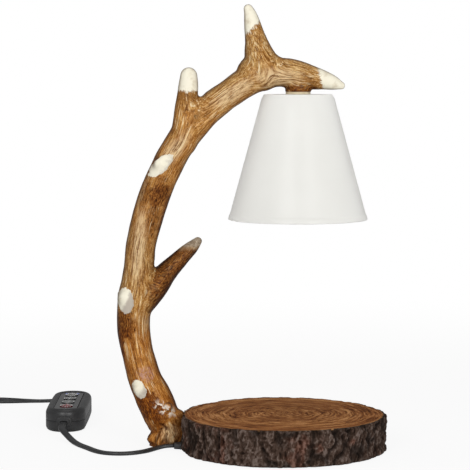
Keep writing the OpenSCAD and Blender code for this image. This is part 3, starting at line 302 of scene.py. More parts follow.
# A material: one Principled shader, and the paint that is laid before it goes to the colour.
class Finish(Nodes):
    def __init__(self, name, **sockets):
        self.material = bpy.data.materials.new(name)
        self.material.use_nodes = True
        super().__init__(self.material.node_tree)
        self.shader = self.tree.nodes["Principled BSDF"]
        self.paint = None
        for key, value in sockets.items():
            self.set(key, value)

    def set(self, key, value):
        self.plug(self.shader.inputs[socketNames[key]], value)

    def own(self, name, output="Fac"):
        return self.node("ShaderNodeAttribute", attribute_name=name).outputs[output]

    # Object coordinates, or a piece's own attribute, multiplied by a scale.
    def place(self, scale=(1, 1, 1), attribute=None):
        if attribute:
            where = self.own(attribute, "Vector")
        else:
            where = self.node("ShaderNodeTexCoord").outputs["Object"]
        return self.node("ShaderNodeMapping", {0: where, 3: scale}).outputs[0]

    def noise(self, where, scale, detail=3.0, rough=0.5, distort=0.0):
        sockets = {
            "Vector": where, "Scale": scale, "Detail": detail, "Roughness": rough, "Distortion": distort}
        return self.node("ShaderNodeTexNoise", sockets).outputs[0]

    def spread(self, value, low, high, outLow=0.0, outHigh=1.0):
        sockets = {0: value, 1: low, 2: high, 3: outLow, 4: outHigh}
        return self.node("ShaderNodeMapRange", sockets, interpolation_type="SMOOTHSTEP").outputs[0]

    def mix(self, amount, a, b, blend="MIX"):
        sockets = {0: amount, 6: a, 7: b}
        return self.node("ShaderNodeMix", sockets, data_type="RGBA", blend_type=blend).outputs[2]

    # The paint so far is covered by a colour, or multiplied by one, as far as the amount says.
    def over(self, amount, colour):
        self.paint = self.mix(amount, self.paint, colour)

    def tint(self, amount, colour):
        self.over(amount, self.mix(1.0, self.paint, colour, "MULTIPLY"))

    def ramp(self, value, *stops):
        made = self.node("ShaderNodeValToRGB", {0: value})
        elements = made.color_ramp.elements
        while len(elements) < len(stops):
            elements.new(0.5)
        for element, (at, colour) in zip(elements, stops):
            element.position = at
            element.color = (*colour, 1)
        return made.outputs[0]

    def bump(self, height, strength, distance):
        inputs = {"Height": height, "Strength": strength, "Distance": distance}
        self.set("normal", self.node("ShaderNodeBump", inputs).outputs[0])


# An even finish with life in it: the colour drifts between two shades, and a fine grain moves the
# gloss and the surface.
def plainFinish(name, dark, light, rough, patch=60, grain=900, depth=0.00006, **sockets):
    made = Finish(name, **sockets)
    where = made.place()
    made.set("colour", made.mix(made.spread(made.noise(where, patch), 0.35, 0.65), dark, light))
    fine = made.noise(where, grain, 2)
    made.set("rough", made.spread(fine, 0.3, 0.7, rough - 0.06, rough + 0.08))
    made.bump(fine, 0.25, depth)
    return made


# Drawn or turned metal: fine lines across one direction, in the gloss and the surface.
def metalFinish(name, colour, rough, lines=(4000, 4000, 300)):
    made = Finish(name, metal=1.0)
    drawn = made.noise(made.place(lines), 1.0, 2)
    tarnish = made.spread(made.noise(made.place(), 150, 4), 0.4, 0.75)
    made.set("colour", made.mix(tarnish, colour, tuple(0.72 * c for c in colour)))
    made.set("rough", made.spread(drawn, 0.3, 0.7, rough - 0.06, rough + 0.1))
    made.bump(drawn, 0.15, 0.00003)
    return made


# The camera sees the lamp from the photograph's angle: place in metres, tilt in degrees.
view = {"place": (-0.0373, -1.530, 0.2927), "tiltDown": 4.70, "lens": 152.7}
cameraData = bpy.data.cameras.new("photoCamera")
cameraData.lens, cameraData.sensor_width, cameraData.sensor_fit = view["lens"], 36, "HORIZONTAL"
cameraData.clip_start, cameraData.clip_end = 0.01, 50
camera = bpy.data.objects.new("photoCamera", cameraData)
camera.location = view["place"]
camera.rotation_euler = (math.radians(90 - view["tiltDown"]), 0, 0)
scene.collection.objects.link(camera)
scene.camera = camera

lamps = {
    "frontLeft": {"place": (-0.75, -2.0, 0.85), "aim": (0, 0, 0.16), "size": 0.8, "power": 17},
    "frontRight": {"place": (0.85, -1.9, 0.7), "aim": (0, 0, 0.16), "size": 0.8, "power": 15.5},
    "above": {"place": (0.0, -0.2, 2.0), "aim": (0, 0, 0.1), "size": 1.4, "power": 6},
}
for lampName, lamp in lamps.items():
    lampData = bpy.data.lights.new(lampName, "AREA")
    lampData.shape, lampData.size, lampData.energy = "DISK", lamp["size"], lamp["power"]
    lampObject = bpy.data.objects.new(lampName, lampData)
    away = np.array(lamp["place"]) - np.array(lamp["aim"])
    lampObject.location = lamp["place"]
    fromUpright = math.atan2(math.hypot(away[0], away[1]), away[2])
    lampObject.rotation_euler = (fromUpright, 0, math.atan2(away[1], away[0]) + math.pi / 2)
    scene.collection.objects.link(lampObject)

# The world is white where it is seen, and a weak even light for everything else.
scene.view_settings.view_transform = "Standard"
studio = {
    "ambient": 0.30, "seen": 1.0, "floorNear": 0.90, "floorFar": 1.0, "farStart": 0.25, "farEnd": 1.1,
    "half": 6000}
scene.world = bpy.data.worlds.new("studio")
scene.world.use_nodes = True
sky = Nodes(scene.world.node_tree)
level = sky.node("ShaderNodeMapRange", {0: sky.seen(), 3: studio["ambient"], 4: studio["seen"]})
sky.plug(sky.tree.nodes["Background"].inputs[0], (1, 1, 1))
sky.plug(sky.tree.nodes["Background"].inputs[1], level.outputs[0])

# The floor is plain white paper, lifted towards white for the camera, with the soft shadow kept.
floor = Finish("floorPaper", colour=(0.94, 0.94, 0.94), rough=0.9, specular=0.1)
paper = floor.node("ShaderNodeEmission", {"Color": (1, 1, 1), "Strength": 1.0})
distance = floor.node("ShaderNodeVectorMath", {0: floor.place()}, operation="LENGTH").outputs["Value"]
fading = floor.spread(
    distance, studio["farStart"], studio["farEnd"], studio["floorNear"], studio["floorFar"])
lifted = floor.node(
    "ShaderNodeMixShader",
    {0: floor.times(floor.seen(), fading), 1: floor.shader.outputs[0], 2: paper.outputs[0]})
floor.plug(floor.tree.nodes["Material Output"].inputs[0], lifted.outputs[0])
floorPoints = np.array([[-1, -1, 0], [1, -1, 0], [1, 1, 0], [-1, 1, 0]]) * studio["half"]
makePiece("floor", floorPoints, [[0, 1, 2, 3]], floor, body=None)
print("camera, light and floor")

# The flat cord and its coil, in mm.
cord = {"width": 5.4, "thick": 2.8, "coilAcross": 64, "turns": 6.25, "gap": 0.6, "coilLow": 2.85}
mouth = np.array([-84.5, -5.0, 0])  # where the cord leaves the bushing
# From the controller's middle to where the cord bends and to its inner ends, and the cord's height.
relief = {"bend": 69.2, "inner": 45.42, "height": 9.0}
ctlAt = np.array([mouth[0] - 91.5, mouth[1] + 55.8 + relief["bend"], 0])
lay = cord["thick"] / 2 + 0.05
lampSide = mouth + np.array([
    [-0.1, 0, 3.7], [-2.5, 0, 3.7], [-8, -0.8, 3.3], [-13, -3, 2.5], [-17.6, -6.5, 1.8], [-21.5, -10.4, lay],
    [-25.6, -14.4, lay], [-32, -18.7, lay], [-39.4, -20.7, lay], [-47, -20, lay], [-53.8, -16.8, lay],
    [-60.2, -9.8, lay], [-67.3, 2.5, lay], [-74.4, 14.8, 1.5], [-78.4, 21.6, 2.1], [-81.9, 27.8, 3.4],
    [-85.3, 33.8, 5.3], [-88.6, 39.4, 7.4], [-90.7, 44.6, 8.6], [-91.5, 50.4, relief["height"]],
])
lampSide = np.vstack([lampSide] + [ctlAt + [0, -relief[end], relief["height"]] for end in ("bend", "inner")])
mainsMouth = ctlAt + [0, relief["bend"], 0]
mainsSide = np.vstack([ctlAt + [0, relief[end], relief["height"]] for end in ("inner", "bend")] + [
    mainsMouth + np.array([
        [0, 5.4, 9], [-0.8, 11.2, 8.5], [-3.1, 16.9, 7.2], [-6.7, 21.7, 5.6], [-11.5, 25.3, 4],
        [-17, 27.6, 2.6], [-23, 28.4, 1.9], [-32, 27.9, 1.6], [-44, 26.7, 1.9], [-56, 25.4, 2.35],
        [-68, 24.1, 2.75], [-80, 22.9, cord["coilLow"]], [-92, 21.9, cord["coilLow"]],
        [-104, 21.2, cord["coilLow"]],
    ])])
coilPitch, coilRise = cord["thick"] + cord["gap"], cord["width"] + cord["gap"]
coilOut = cord["coilAcross"] / 2 + coilPitch * cord["turns"] / 4
coilAt = np.array([mainsMouth[0] - 111.6 - cord["width"], mainsMouth[1] + 21.1 - coilOut, 0])
tail = np.array([
    [0, -0.1, 0], [0, -3, 0], [0, -9, -0.8], [0, -16, -2], [0, -23, -2.2], [0, -29, -1.6], [0, -33, -1.3],
    [0, -36, -1.3]])


# The coil: its radius falls and grows again at a steady rate, and it climbs one layer in the half
# turn between.
def coilPoints(count):
    turn = np.linspace(0, cord["turns"], count)
    radius = coilOut - coilPitch * np.minimum(turn, cord["turns"] - turn)
    a = np.pi / 2 + 2 * np.pi * turn
    climb = cord["coilLow"] + coilRise * smooth(-0.25, 0.25, turn - cord["turns"] / 2)
    return coilAt + np.stack([radius * np.cos(a), radius * np.sin(a), climb], 1)


# The sum of the steps along a path.
def pathLength(path):
    return float(np.linalg.norm(np.diff(path, axis=0), axis=1).sum())


cordFinish = plainFinish(
    "cordBlack", (0.017, 0.017, 0.018), (0.028, 0.028, 0.029), 0.42, patch=50, grain=1200)


# The flat cord: its section, with a dip along both broad sides, carried along its path.
def cordPiece(name, path, roll, count, replaced):
    rings = carried(path, flatProfile(cord["width"], cord["thick"], count, 0.14), roll)
    return gridsPiece(name, [rings], cordFinish, replaced)


lampPath = curveThrough(lampSide, 1.4)
lampCord = cordPiece("lampSideCord", lampPath, 0, 28, "cord_lamp_side")
coil = coilPoints(int(cord["turns"] * 96))
mainsPath = curveThrough(np.vstack([mainsSide, [coil[0] + [cord["width"], 0, 0]]]), 1.4)
tailPath = curveThrough(coil[-1] - [0, cord["width"], 0] + tail, 1.4)
wholePath = np.vstack([mainsPath, coil, tailPath])
onEdge = np.concatenate([
    smooth(32, 92, mainsMouth[0] - mainsPath[:, 0]), np.ones(len(coil)),
    1 - smooth(3, 29, tailPath[0, 1] - tailPath[:, 1])])
mainsCord = cordPiece("mainsCord", wholePath, onEdge * np.pi / 2, 20, "cord_mains_side cord_coil cord_tail")
print("cords", round(pathLength(lampPath)), round(pathLength(wholePath)))

# The antler: lengths in mm, how the skin is smoothed, then how deep or high each kind of relief is.
antler = {
    "voxel": 0.8, "sides": 28, "step": 1.5, "seatX": -77.0, "seatHigh": 30, "lowest": 1.2,
    "stubLow": 277.0, "stubReach": 13, "axis": 11, "skinPasses": 3, "filletPasses": 30, "filletWidth": 7,
    "grainPasses": 240, "grainWidth": 22, "plaquePasses": 70, "plaqueMargin": 3.5, "share": 0.6,
    "groove": 0.24, "fibre": 0.25, "lump": 0.55, "bead": 0.5, "burr": 1.5, "plaque": 1.0, "crease": 1.1}
foot = np.array([-91.5, 12.0, 0])
# Stations along each branch from the foot: x, y, z and radius.
beam = [
    [0, 0, -2, 12.6], [0, 0, 6, 13.2], [0.5, 0, 13, 12], [-3.5, 0.5, 25, 14.2], [-9.2, 1, 38, 14.3],
    [-15.3, 1.5, 51, 13.3], [-19.4, 1.5, 64.5, 12.8], [-22.4, 1.5, 77, 12.5], [-24.5, 1, 90, 12.8],
    [-24.7, 1, 103, 13.3], [-23.5, 0.5, 117, 14], [-21.2, 0, 130, 13], [-20, -1, 143, 11.9],
    [-18.6, -2, 157, 11.7], [-16, -3, 170, 11.9], [-12.3, -4, 183.5, 12.2], [-7.8, -5.5, 197.5, 12.4],
    [-1.8, -7, 212, 12.4], [6, -8, 227.6, 12.2], [15.6, -9, 242.8, 12.1], [27.6, -10, 257.2, 12],
    [39.8, -10.5, 268.2, 11.6], [52.3, -11, 277.4, 11.1], [66.5, -11.5, 286, 11.6], [81, -12, 291.4, 11.7],
    [93.2, -12, 291.7, 11.3], [104, -12, 289.9, 10.5], [114.6, -12, 287.4, 9], [124, -12, 285.2, 7],
    [131, -12, 283.2, 5], [135.6, -12, 281.6, 2.9]]
blunt = [
    [14, -10.5, 238, 11.5], [16.8, -12, 249, 10.9], [17.5, -13, 261.5, 10], [18, -14, 272, 8.7],
    [18.5, -15, 281.5, 7.7], [18.8, -15.5, 289, 6.6]]
pointed = [
    [76, -12, 290, 13], [74.6, -12, 299, 13], [72, -11, 308.5, 10.6], [70.3, -10, 316, 8.6],
    [68.5, -9.5, 323.5, 7.2], [67, -9, 330.2, 6], [65.4, -8.5, 337, 4.6], [64.2, -8.2, 340.2, 3.8]]
darkTine = [
    [-20, 0.5, 113, 12], [-13.5, 2, 120.5, 12], [-6.2, 4, 128.4, 10.8], [0.4, 6, 136, 8.8],
    [7.3, 8, 143.3, 7.5], [14.3, 10, 150, 6.4], [20.5, 12, 155.3, 5.1], [25, 14, 160, 3.6]]
branches = (beam, blunt, pointed, darkTine)
stub = [[102.5, -12, 277, 10], [102.5, -12, 283, 9.7], [102.5, -12, 289, 9.6]]
knobs = [
    [[-0.5, -13, 220, 7], [-3, -18.5, 222.5, 5.2]], [[-26, -6.5, 116, 7.2], [-30.5, -10, 118, 5.4]],
    [[-16.5, -6.5, 46, 6.6], [-21, -10, 47.2, 4.6]], [[1, -8, 32, 5], [2, -12.5, 33.5, 3.4]],
    [[-7, -3, 6, 6.5], [-10, -5, 6.5, 4.5]]]
# Balls at the seat on the slice and at the fork.
balls = [[-84.5, 12, 10.6, 9.8], [-83.5, 12, 21.5, 8.6], [-23, 0.5, 291.5, 13.0], [-11, 0.5, 294.5, 12.5]]


# The centre line and radius through a branch's stations, and the direction along it.
def centreLine(stations, step):
    line = curveThrough(stations, step)
    path = line[:, :3] + foot
    return path, line[:, 3], unit(np.gradient(path, axis=0))


# A branch: a round ring carried along its centre line, with half a ball at each end.
def branch(stations):
    path, radius, along = centreLine(stations, antler["step"])
    t = np.linspace(0, 0.497 * np.pi, 8)[1:]
    before = path[0] - along[0] * (radius[0] * np.sin(t))[::-1, None]
    after = path[-1] + along[-1] * (radius[-1] * np.sin(t))[:, None]
    radius = np.concatenate([radius[0] * np.cos(t)[::-1], radius, radius[-1] * np.cos(t)])
    rings = circle(1, antler["sides"])[None] * radius[:, None, None]
    crosswise = abs(along[len(along) // 2][1]) > 0.7
    return carried(np.vstack([before, path, after]), rings, ref=(0, 0, 1) if crosswise else (0, 1, 0))


# A ball: level circles, as wide as the cosine and as high as the sine of each row's angle.
def ball(x, y, z, radius, rings=14, around=24):
    t = np.linspace(-0.495 * np.pi, 0.495 * np.pi, rings)
    return lathe(np.stack([radius * np.cos(t), z + radius * np.sin(t)], 1), around, (x, y))


# All branches, knobs and balls melt into one skin.
solids = [branch(stations) for stations in (*branches, stub)]
solids += [branch([inner, np.array(inner) * 0.5 + np.array(outer) * 0.5, outer]) for inner, outer in knobs]
solids += [ball(*place) for place in balls]
rough = gridsPiece("antlerRough", solids, cordFinish, body=None)
melt = rough.modifiers.new("melt", "REMESH")
melt.mode, melt.voxel_size, melt.adaptivity, melt.use_smooth_shade = "VOXEL", antler["voxel"] * mm, 0.0, True
melted = bpy.data.meshes.new_from_object(rough.evaluated_get(bpy.context.evaluated_depsgraph_get()))
bpy.data.objects.remove(rough)
skin = np.zeros(len(melted.vertices) * 3)
melted.vertices.foreach_get("co", skin)
skin = skin.reshape(-1, 3) / mm
edges = np.zeros(len(melted.edges) * 2, int)
melted.edges.foreach_get("vertices", edges)
edges = edges.reshape(-1, 2)
degree = np.bincount(edges.ravel(), minlength=len(skin))[:, None]


# Each point moves towards its neighbours' mean, by a share of its own, over the whole mesh at once.
def smoothed(values, share, passes):
    for _ in range(passes):
        total = [
            np.bincount(edges[:, 0], values[edges[:, 1], i], len(values))
            + np.bincount(edges[:, 1], values[edges[:, 0], i], len(values)) for i in range(3)]
        values = values + share * (np.stack(total, 1) / degree - values)
    return values


# Where each point lies on a branch: across it, along its centre line, and how far above its surface.
def branchPlace(stations):
    path, radius, along = centreLine(stations, 1.0)
    side = unit(np.cross(along, [0.0, 1.0, 0.0]))
    up = np.cross(side, along)
    nearest = np.zeros(len(skin), int)
    for block in np.array_split(np.arange(len(skin)), 1 + len(skin) // 12000):
        gap = ((skin[block, None, :] - path[None]) ** 2).sum(-1) ** 0.5 - radius
        nearest[block] = gap.argmin(1)
    away = skin - path[nearest]
    u, v = (away * side[nearest]).sum(1), (away * up[nearest]).sum(1)
    reach = np.hypot(u, v) + 1e-6
    run = nearest * 1.0 + (away * along[nearest]).sum(1)
    place = np.stack([u / reach * radius[nearest], v / reach * radius[nearest], run], 1)
    return place, np.linalg.norm(away, axis=1) - radius[nearest]


skin = smoothed(skin, antler["share"], antler["skinPasses"])
places = [branchPlace(stations) for stations in branches]
above = np.stack([gap for _, gap in places], 1)
owner = above.argmin(1)
onBeam, onBlunt, onPointed, onDark = (owner == i for i in range(4))
ordered = np.sort(above, 1)
apart = ordered[:, 1] - ordered[:, 0]  # small where two branches meet
joint = 1 - smooth(0.5, antler["filletWidth"], apart)
skin = smoothed(skin, 0.55 * joint[:, None], antler["filletPasses"])

# The grain runs round from the beam into each tine. The starts are how far along each tine begins.
starts = np.array([0.0, 236.0, 348.0, 118.0])
grain = np.stack([place for place, _ in places], 1)[np.arange(len(skin)), owner]
grain[:, 2] += starts[owner]
blending = antler["share"] * (1 - smooth(2, antler["grainWidth"], apart))
grain = smoothed(grain, blending[:, None], antler["grainPasses"])
blot, ragged = layered(skin / 2.2, 3, 5), layered(skin / 1.1, 2, 15)


# A spot, placed as the photograph shows it: 1 in the middle, 0 past its edge, with a ragged outline.
# Where a front is given, it fades out behind that y.
def spot(x, z, halfWide, halfHigh, lean, edge, wobble, front=None):
    c, s = math.cos(math.radians(lean)), math.sin(math.radians(lean))
    dx, dz = skin[:, 0] - x, skin[:, 2] - z
    r = np.hypot((dx * c + dz * s) / halfWide, (dz * c - dx * s) / halfHigh) + wobble * blot
    mask = 1 - smooth(1 - edge, 1 + edge, r)
    return mask if front is None else mask * smooth(front + 3, front - 3, skin[:, 1])


# The strongest of several spots, each its x, z, half sizes and lean, and a strength where they differ.
def spots(edge, wobble, table):
    return np.max([np.prod(row[5:]) * spot(*row[:5], edge, wobble) for row in table], 0)


# The worn knobs: a plaque's x, z, half sizes and lean, how far back it reaches, and how strongly
# its lower right is darkened as painted shade.
plaqueSpots = [
    (-94.2, 220.6, 4.9, 12.2, -47, 5, 0.7), (-121.8, 115.8, 6.0, 10.2, 4, 14, 1.5),
    (-111.4, 46.8, 5.0, 7.4, 22, 14, 0.9)]
margin = antler["plaqueMargin"]
flattened = [
    spot(x, z, w + margin, h + margin, lean, 0.3, 0.0, front) for x, z, w, h, lean, front, _ in plaqueSpots]
skin = smoothed(skin, antler["share"] * np.max(flattened, 0)[:, None], antler["plaquePasses"])
plaques = [spot(*place[:5], 0.12, 0.35, place[5]) for place in plaqueSpots]
plaque = np.max(plaques, 0)
# Painted shade: each plaque darkens towards its lower right.
plaquePaintedShade = np.max([
    mask * smooth(-0.5, 0.7, ((skin[:, 0] - x) * 0.8 - (skin[:, 2] - z) * 0.35) / w) * shadeWeight
    for mask, (x, z, w, _, _, _, shadeWeight) in zip(plaques, plaqueSpots)], 0)

# The way out of the skin at each point.
flatNormals = np.zeros(len(skin) * 3)
melted.vertices.foreach_set("co", (skin * mm).ravel())
melted.update()
melted.vertex_normals.foreach_get("vector", flatNormals)
normals = flatNormals.reshape(-1, 3)

skinX, skinZ = skin[:, 0], skin[:, 2]
tipEdge = 3.2 * layered(skin / 3.0, 3, 9) + 1.6 * ragged
bluntTip = onBlunt * smooth(273.5, 281.5, skinZ + tipEdge)
pointedTip = onPointed * smooth(317.5, 332, skinZ + tipEdge - 0.9 * (skinX + 24))
beamTip = onBeam * smooth(23.0, 31.0, skinX + tipEdge + 0.25 * (skinZ - 291))
beamTip = beamTip * smooth(277.0, 279.5, skinZ + 0.3 * tipEdge)
cream = np.clip(plaque + bluntTip + pointedTip + beamTip, 0, 1)
greyTip = onDark * smooth(152, 158, skinZ + tipEdge)

# Dark stains and a painted shadow under the arm, pale streaks and painted highlights, and creases.
stainAndShade = spots(0.55, 0.9, [
    (-96.0, 198.5, 7.0, 12.0, -20, 1.0), (-100.5, 180.0, 6.0, 20.0, -12, 0.6),
    (-92.0, 178.0, 3.2, 26.0, -14, 0.8), (-106.0, 198.0, 5.0, 13.0, -12, 0.6),
    (-97.0, 124.0, 5.0, 13.0, -30, 0.7), (-122.5, 97.0, 7.5, 12.0, -4, 1.1),
    (-126.0, 84.0, 3.0, 22.0, 4, 0.9), (-117.5, 85.0, 2.4, 15.0, 8, 0.6),
    (-120.5, 66.0, 3.2, 18.0, 15, 0.5), (-109.0, 96.0, 5.0, 16.0, 0, 0.4),
    (-103.0, 33.0, 9.0, 17.0, 33, 1.0), (-100.0, 18.0, 5.5, 7.0, 0, 0.6), (-90.0, 54.0, 4.0, 18.0, 38, 0.55),
    # The wide flat spot at x 12, z 279.5 is painted shadow under the arm, next to the stub.
    (-84.5, 38.0, 4.6, 9.0, 35, 0.6), (-67.0, 258.0, 4.0, 9.0, -35, 0.45), (12.0, 279.5, 15.0, 3.4, 0, 0.8),
    (18.0, 285.0, 7.0, 6.0, 0, 0.45), (-110.0, 210.0, 3.0, 8.0, -20, 0.5), (-48.0, 300.0, 4.0, 12.0, 10, 0.4)])
# Most of the dark tine is darkened too, short of its grey tip.
stainAndShade = np.maximum(stainAndShade, 0.75 * onDark * smooth(-108, -97, skinX) * (1 - greyTip))
stainAndShade = np.maximum(stainAndShade, onBlunt * smooth(262, 274, skinZ) * 0.5)
# A cream streak on the left of the beam, and painted highlights along the middle of the upper beam and arm and
# on the foot.
pale = spots(0.6, 0.6, [
    (-111.0, 160.0, 4.6, 26.0, -6), (-84.0, 232.0, 5.0, 16.0, -38), (-38.0, 276.0, 5.0, 16.0, -58),
    (-5.0, 288.0, 16.0, 6.0, 0), (-88.0, 12.0, 6.0, 7.0, 0)])
creases = spots(0.5, 0.7, [
    (-97.6, 9.0, 1.1, 6.5, -24), (-88.0, 3.2, 8.0, 1.8, 0), (-90.5, 7.0, 1.5, 4.0, 8),
    (-94.0, 5.5, 1.2, 3.0, -30), (-101.5, 3.2, 5.0, 1.8, -20), (-92.0, 17.5, 1.2, 5.0, 55)])
warm = np.maximum(smooth(125, 75, skinZ), 0.5 * smooth(150, 180, skinZ) * smooth(285, 250, skinZ))

# Painted shade: the colour is darkened on the inner and outer edges of the curve, more on the outer,
# over most of the dark tine except where it faces straight front or back, in the foot's creases and
# against the bark.
facing = np.abs(normals[:, 1])
edgeShade = np.where(
    normals[:, 0] + 0.4 * normals[:, 2] < 0, smooth(0.80, 0.12, facing), smooth(0.62, 0.08, facing))
paintedShade = np.where(onDark, smooth(0.97, 0.45, facing) * (1 - greyTip), edgeShade)
shadowByBark = 0.85 * smooth(-88.0, -79.0, skinX + 1.5 * blot) * smooth(34, 24, skinZ)
paintedShade = np.maximum(paintedShade, np.maximum(creases, shadowByBark) * (1 - cream))
skinData = {
    "grain": grain, "cream": cream, "stainAndShade": stainAndShade, "greyTip": greyTip,
    "blush": spot(-106.5, 59, 6, 5, 0, 0.5, 1.0, 6), "paintedGlint": spot(-91.0, 31.5, 3.8, 9.0, 60, 0.5, 0.8, 6),
    "warm": warm, "paintedShade": paintedShade, "pale": pale, "plaquePaintedShade": plaquePaintedShade}

# Relief: long grooves and fibres along the grain, low lumps, small beads near the foot, a rough
# burr, and smooth raised plaques.
groove = -antler["groove"] * (1 - folded(grain / [2.3, 2.3, 24], 3, 1)) ** 3
fibres = antler["fibre"] * layered(grain / [0.9, 0.9, 9], 2, 21)
lump = antler["lump"] * layered(skin / 17, 2, 3) * 2
beads = smooth(70, 10, skinZ) * antler["bead"] * layered(grain / [3.2, 3.2, 6], 2, 7)
burr = smooth(21, 12, skinZ) * antler["burr"] * layered(skin / 4.6, 3, 11) * 2
height = (groove + fibres) * (1 - 0.9 * cream) * (1 - 0.5 * joint) + lump + beads + burr
height = height + antler["plaque"] * plaque - antler["crease"] * creases * smooth(25, 18, skinZ)
skin = skin + normals * height[:, None]
atSeat = (skin[:, 2] < antler["seatHigh"]) & (skin[:, 0] > antler["seatX"])
skin[atSeat, 0] = antler["seatX"]
skin[:, 2] = np.maximum(skin[:, 2], antler["lowest"])
nearStub = np.hypot(skin[:, 0] - antler["axis"], skin[:, 1]) < antler["stubReach"]
skin[nearStub & (skin[:, 2] < antler["stubLow"]), 2] = antler["stubLow"]
melted.vertices.foreach_set("co", (skin * mm).ravel())
melted.polygons.foreach_set("use_smooth", [True] * len(melted.polygons))
melted.update()


# Painted resin, from the grain's own space: streaks, mottling, stains, worn cream, painted highlights and
# painted shade.
def antlerPaint():
    f = Finish("paintedResin", coat=0.03, specular=0.08, coatRough=0.22)

    # Noise in the grain's space, drawn out along it.
    def grained(stretch, scale, detail, roughness):
        return f.noise(f.place((1, 1, stretch), "grain"), scale, detail, roughness)

    dash = grained(0.11, 1.25, 5, 0.64)
    line = grained(0.016, 1.0, 3, 0.6)
    patchy = grained(0.25, 0.17, 3, 0.55)
    mottle = grained(0.5, 1.5, 3, 0.7)
    speck = f.noise(f.place(), 480, 4, 0.7)
    f.paint = f.ramp(
        dash, (0.34, (0.15, 0.055, 0.009)), (0.45, (0.34, 0.158, 0.036)), (0.54, (0.50, 0.275, 0.085)),
        (0.68, (0.76, 0.54, 0.25)))
    f.over(f.spread(mottle, 0.48, 0.36, 0, 0.6), (0.24, 0.100, 0.022))
    f.over(f.spread(mottle, 0.54, 0.66, 0, 0.45), (0.80, 0.62, 0.36))
    f.tint(f.spread(patchy, 0.40, 0.62, 0, 0.55), (0.78, 0.62, 0.44))
    f.tint(f.times(f.own("warm"), 0.8), (1.06, 0.78, 0.42))
    # Pale tan: the cream streak and the painted highlights.
    f.over(f.times(f.own("pale"), f.spread(dash, 0.38, 0.58, 0.15, 0.75)), (0.74, 0.56, 0.33))
    lightLines = f.times(f.spread(line, 0.57, 0.64), f.spread(patchy, 0.60, 0.40, 0.0, 0.85))
    f.over(lightLines, (0.84, 0.68, 0.42))
    darkLines = f.times(f.spread(line, 0.44, 0.37), f.spread(speck, 0.35, 0.6, 0.4, 0.95))
    f.over(darkLines, (0.13, 0.045, 0.010))
    # Stains, and the painted shadow under the arm, in dark red-brown.
    stainAndShadeColour = f.ramp(
        grained(0.2, 1.5, 5, 0.72), (0.38, (0.016, 0.005, 0.001)), (0.46, (0.080, 0.022, 0.003)),
        (0.54, (0.195, 0.062, 0.009)), (0.64, (0.44, 0.20, 0.045)))
    stainAndShadeAmount = f.spread(f.plus(f.own("stainAndShade"), f.swing(dash, 1.9)), 0.28, 0.82)
    f.over(stainAndShadeAmount, stainAndShadeColour)
    f.tint(f.times(stainAndShadeAmount, f.spread(f.own("warm"), 0.5, 1.0, 0.1, 0.9)), (1.02, 0.80, 0.42))
    f.over(f.times(f.own("blush"), f.spread(speck, 0.42, 0.6, 0.1, 0.7)), (0.56, 0.33, 0.27))
    # Painted highlight on the beam above the foot, broken into pale flecks.
    glintNoise = f.noise(f.place(), 260, 4, 0.6, 0.8)
    f.over(f.times(f.own("paintedGlint"), f.spread(glintNoise, 0.46, 0.54)), (0.84, 0.74, 0.62))
    boneNoise = f.noise(f.place(), 150, 4, 0.62)
    bone = f.mix(f.spread(boneNoise, 0.48, 0.78), (0.86, 0.81, 0.66), (0.66, 0.58, 0.43))
    # Painted shade on the plaques' lower right, in grey-brown.
    plaqueShadeAmount = f.spread(f.plus(f.own("plaquePaintedShade"), f.swing(boneNoise, 1.5)), 0.28, 0.95, 0, 0.78)
    bone = f.mix(plaqueShadeAmount, bone, (0.40, 0.34, 0.29))
    f.over(f.own("greyTip"), f.mix(f.spread(speck, 0.35, 0.65), (0.22, 0.155, 0.10), (0.42, 0.34, 0.25)))
    creamEdge = f.plus(f.own("cream"), f.plus(f.swing(speck, 0.7), f.swing(dash, 1.5)))
    f.over(f.spread(creamEdge, 0.34, 0.66), bone)
    # Painted shade: darker brown over the edges, the creases and the skin by the bark.
    f.tint(f.times(f.own("paintedShade"), 0.9), (0.20, 0.135, 0.085))
    f.set("colour", f.paint)
    f.set("rough", f.spread(dash, 0.3, 0.7, 0.42, 0.56))
    f.bump(f.times(grained(0.12, 2.2, 3, 0.6), f.calc("SUBTRACT", 1.0, f.own("cream"))), 0.35, 0.00025)
    return f


vertexData(placed("antlerCasting", melted, antlerPaint(), "antler", "lamp"), skinData)
print("antler", len(melted.vertices), "points")

# The log slice: lengths in mm, then how deep or high each kind of relief is.
slab = {
    "radius": 78.5, "low": 1.2, "top": 28.0, "pocket": 57.0, "roof": 20.0, "around": 720, "seatX": -76.95,
    "seatHalf": 16.2, "fissure": 2.1, "shelf": 0.7, "curl": 1.15, "flake": 0.9, "bulge": 1.0, "notch": 3.4,
    "saw": 0.10, "ripple": 0.06, "ringGap": 2.3, "rimSwell": 1.2}


# The outline: a circle whose radius swells and dips with the second, third and seventh turn.
def slabRadius(a):
    waver = 0.006 * np.cos(3 * a + math.radians(40)) + 0.003 * np.cos(7 * a)
    return slab["radius"] * (1 + 0.007 * np.cos(2 * a - math.radians(10)) + waver)


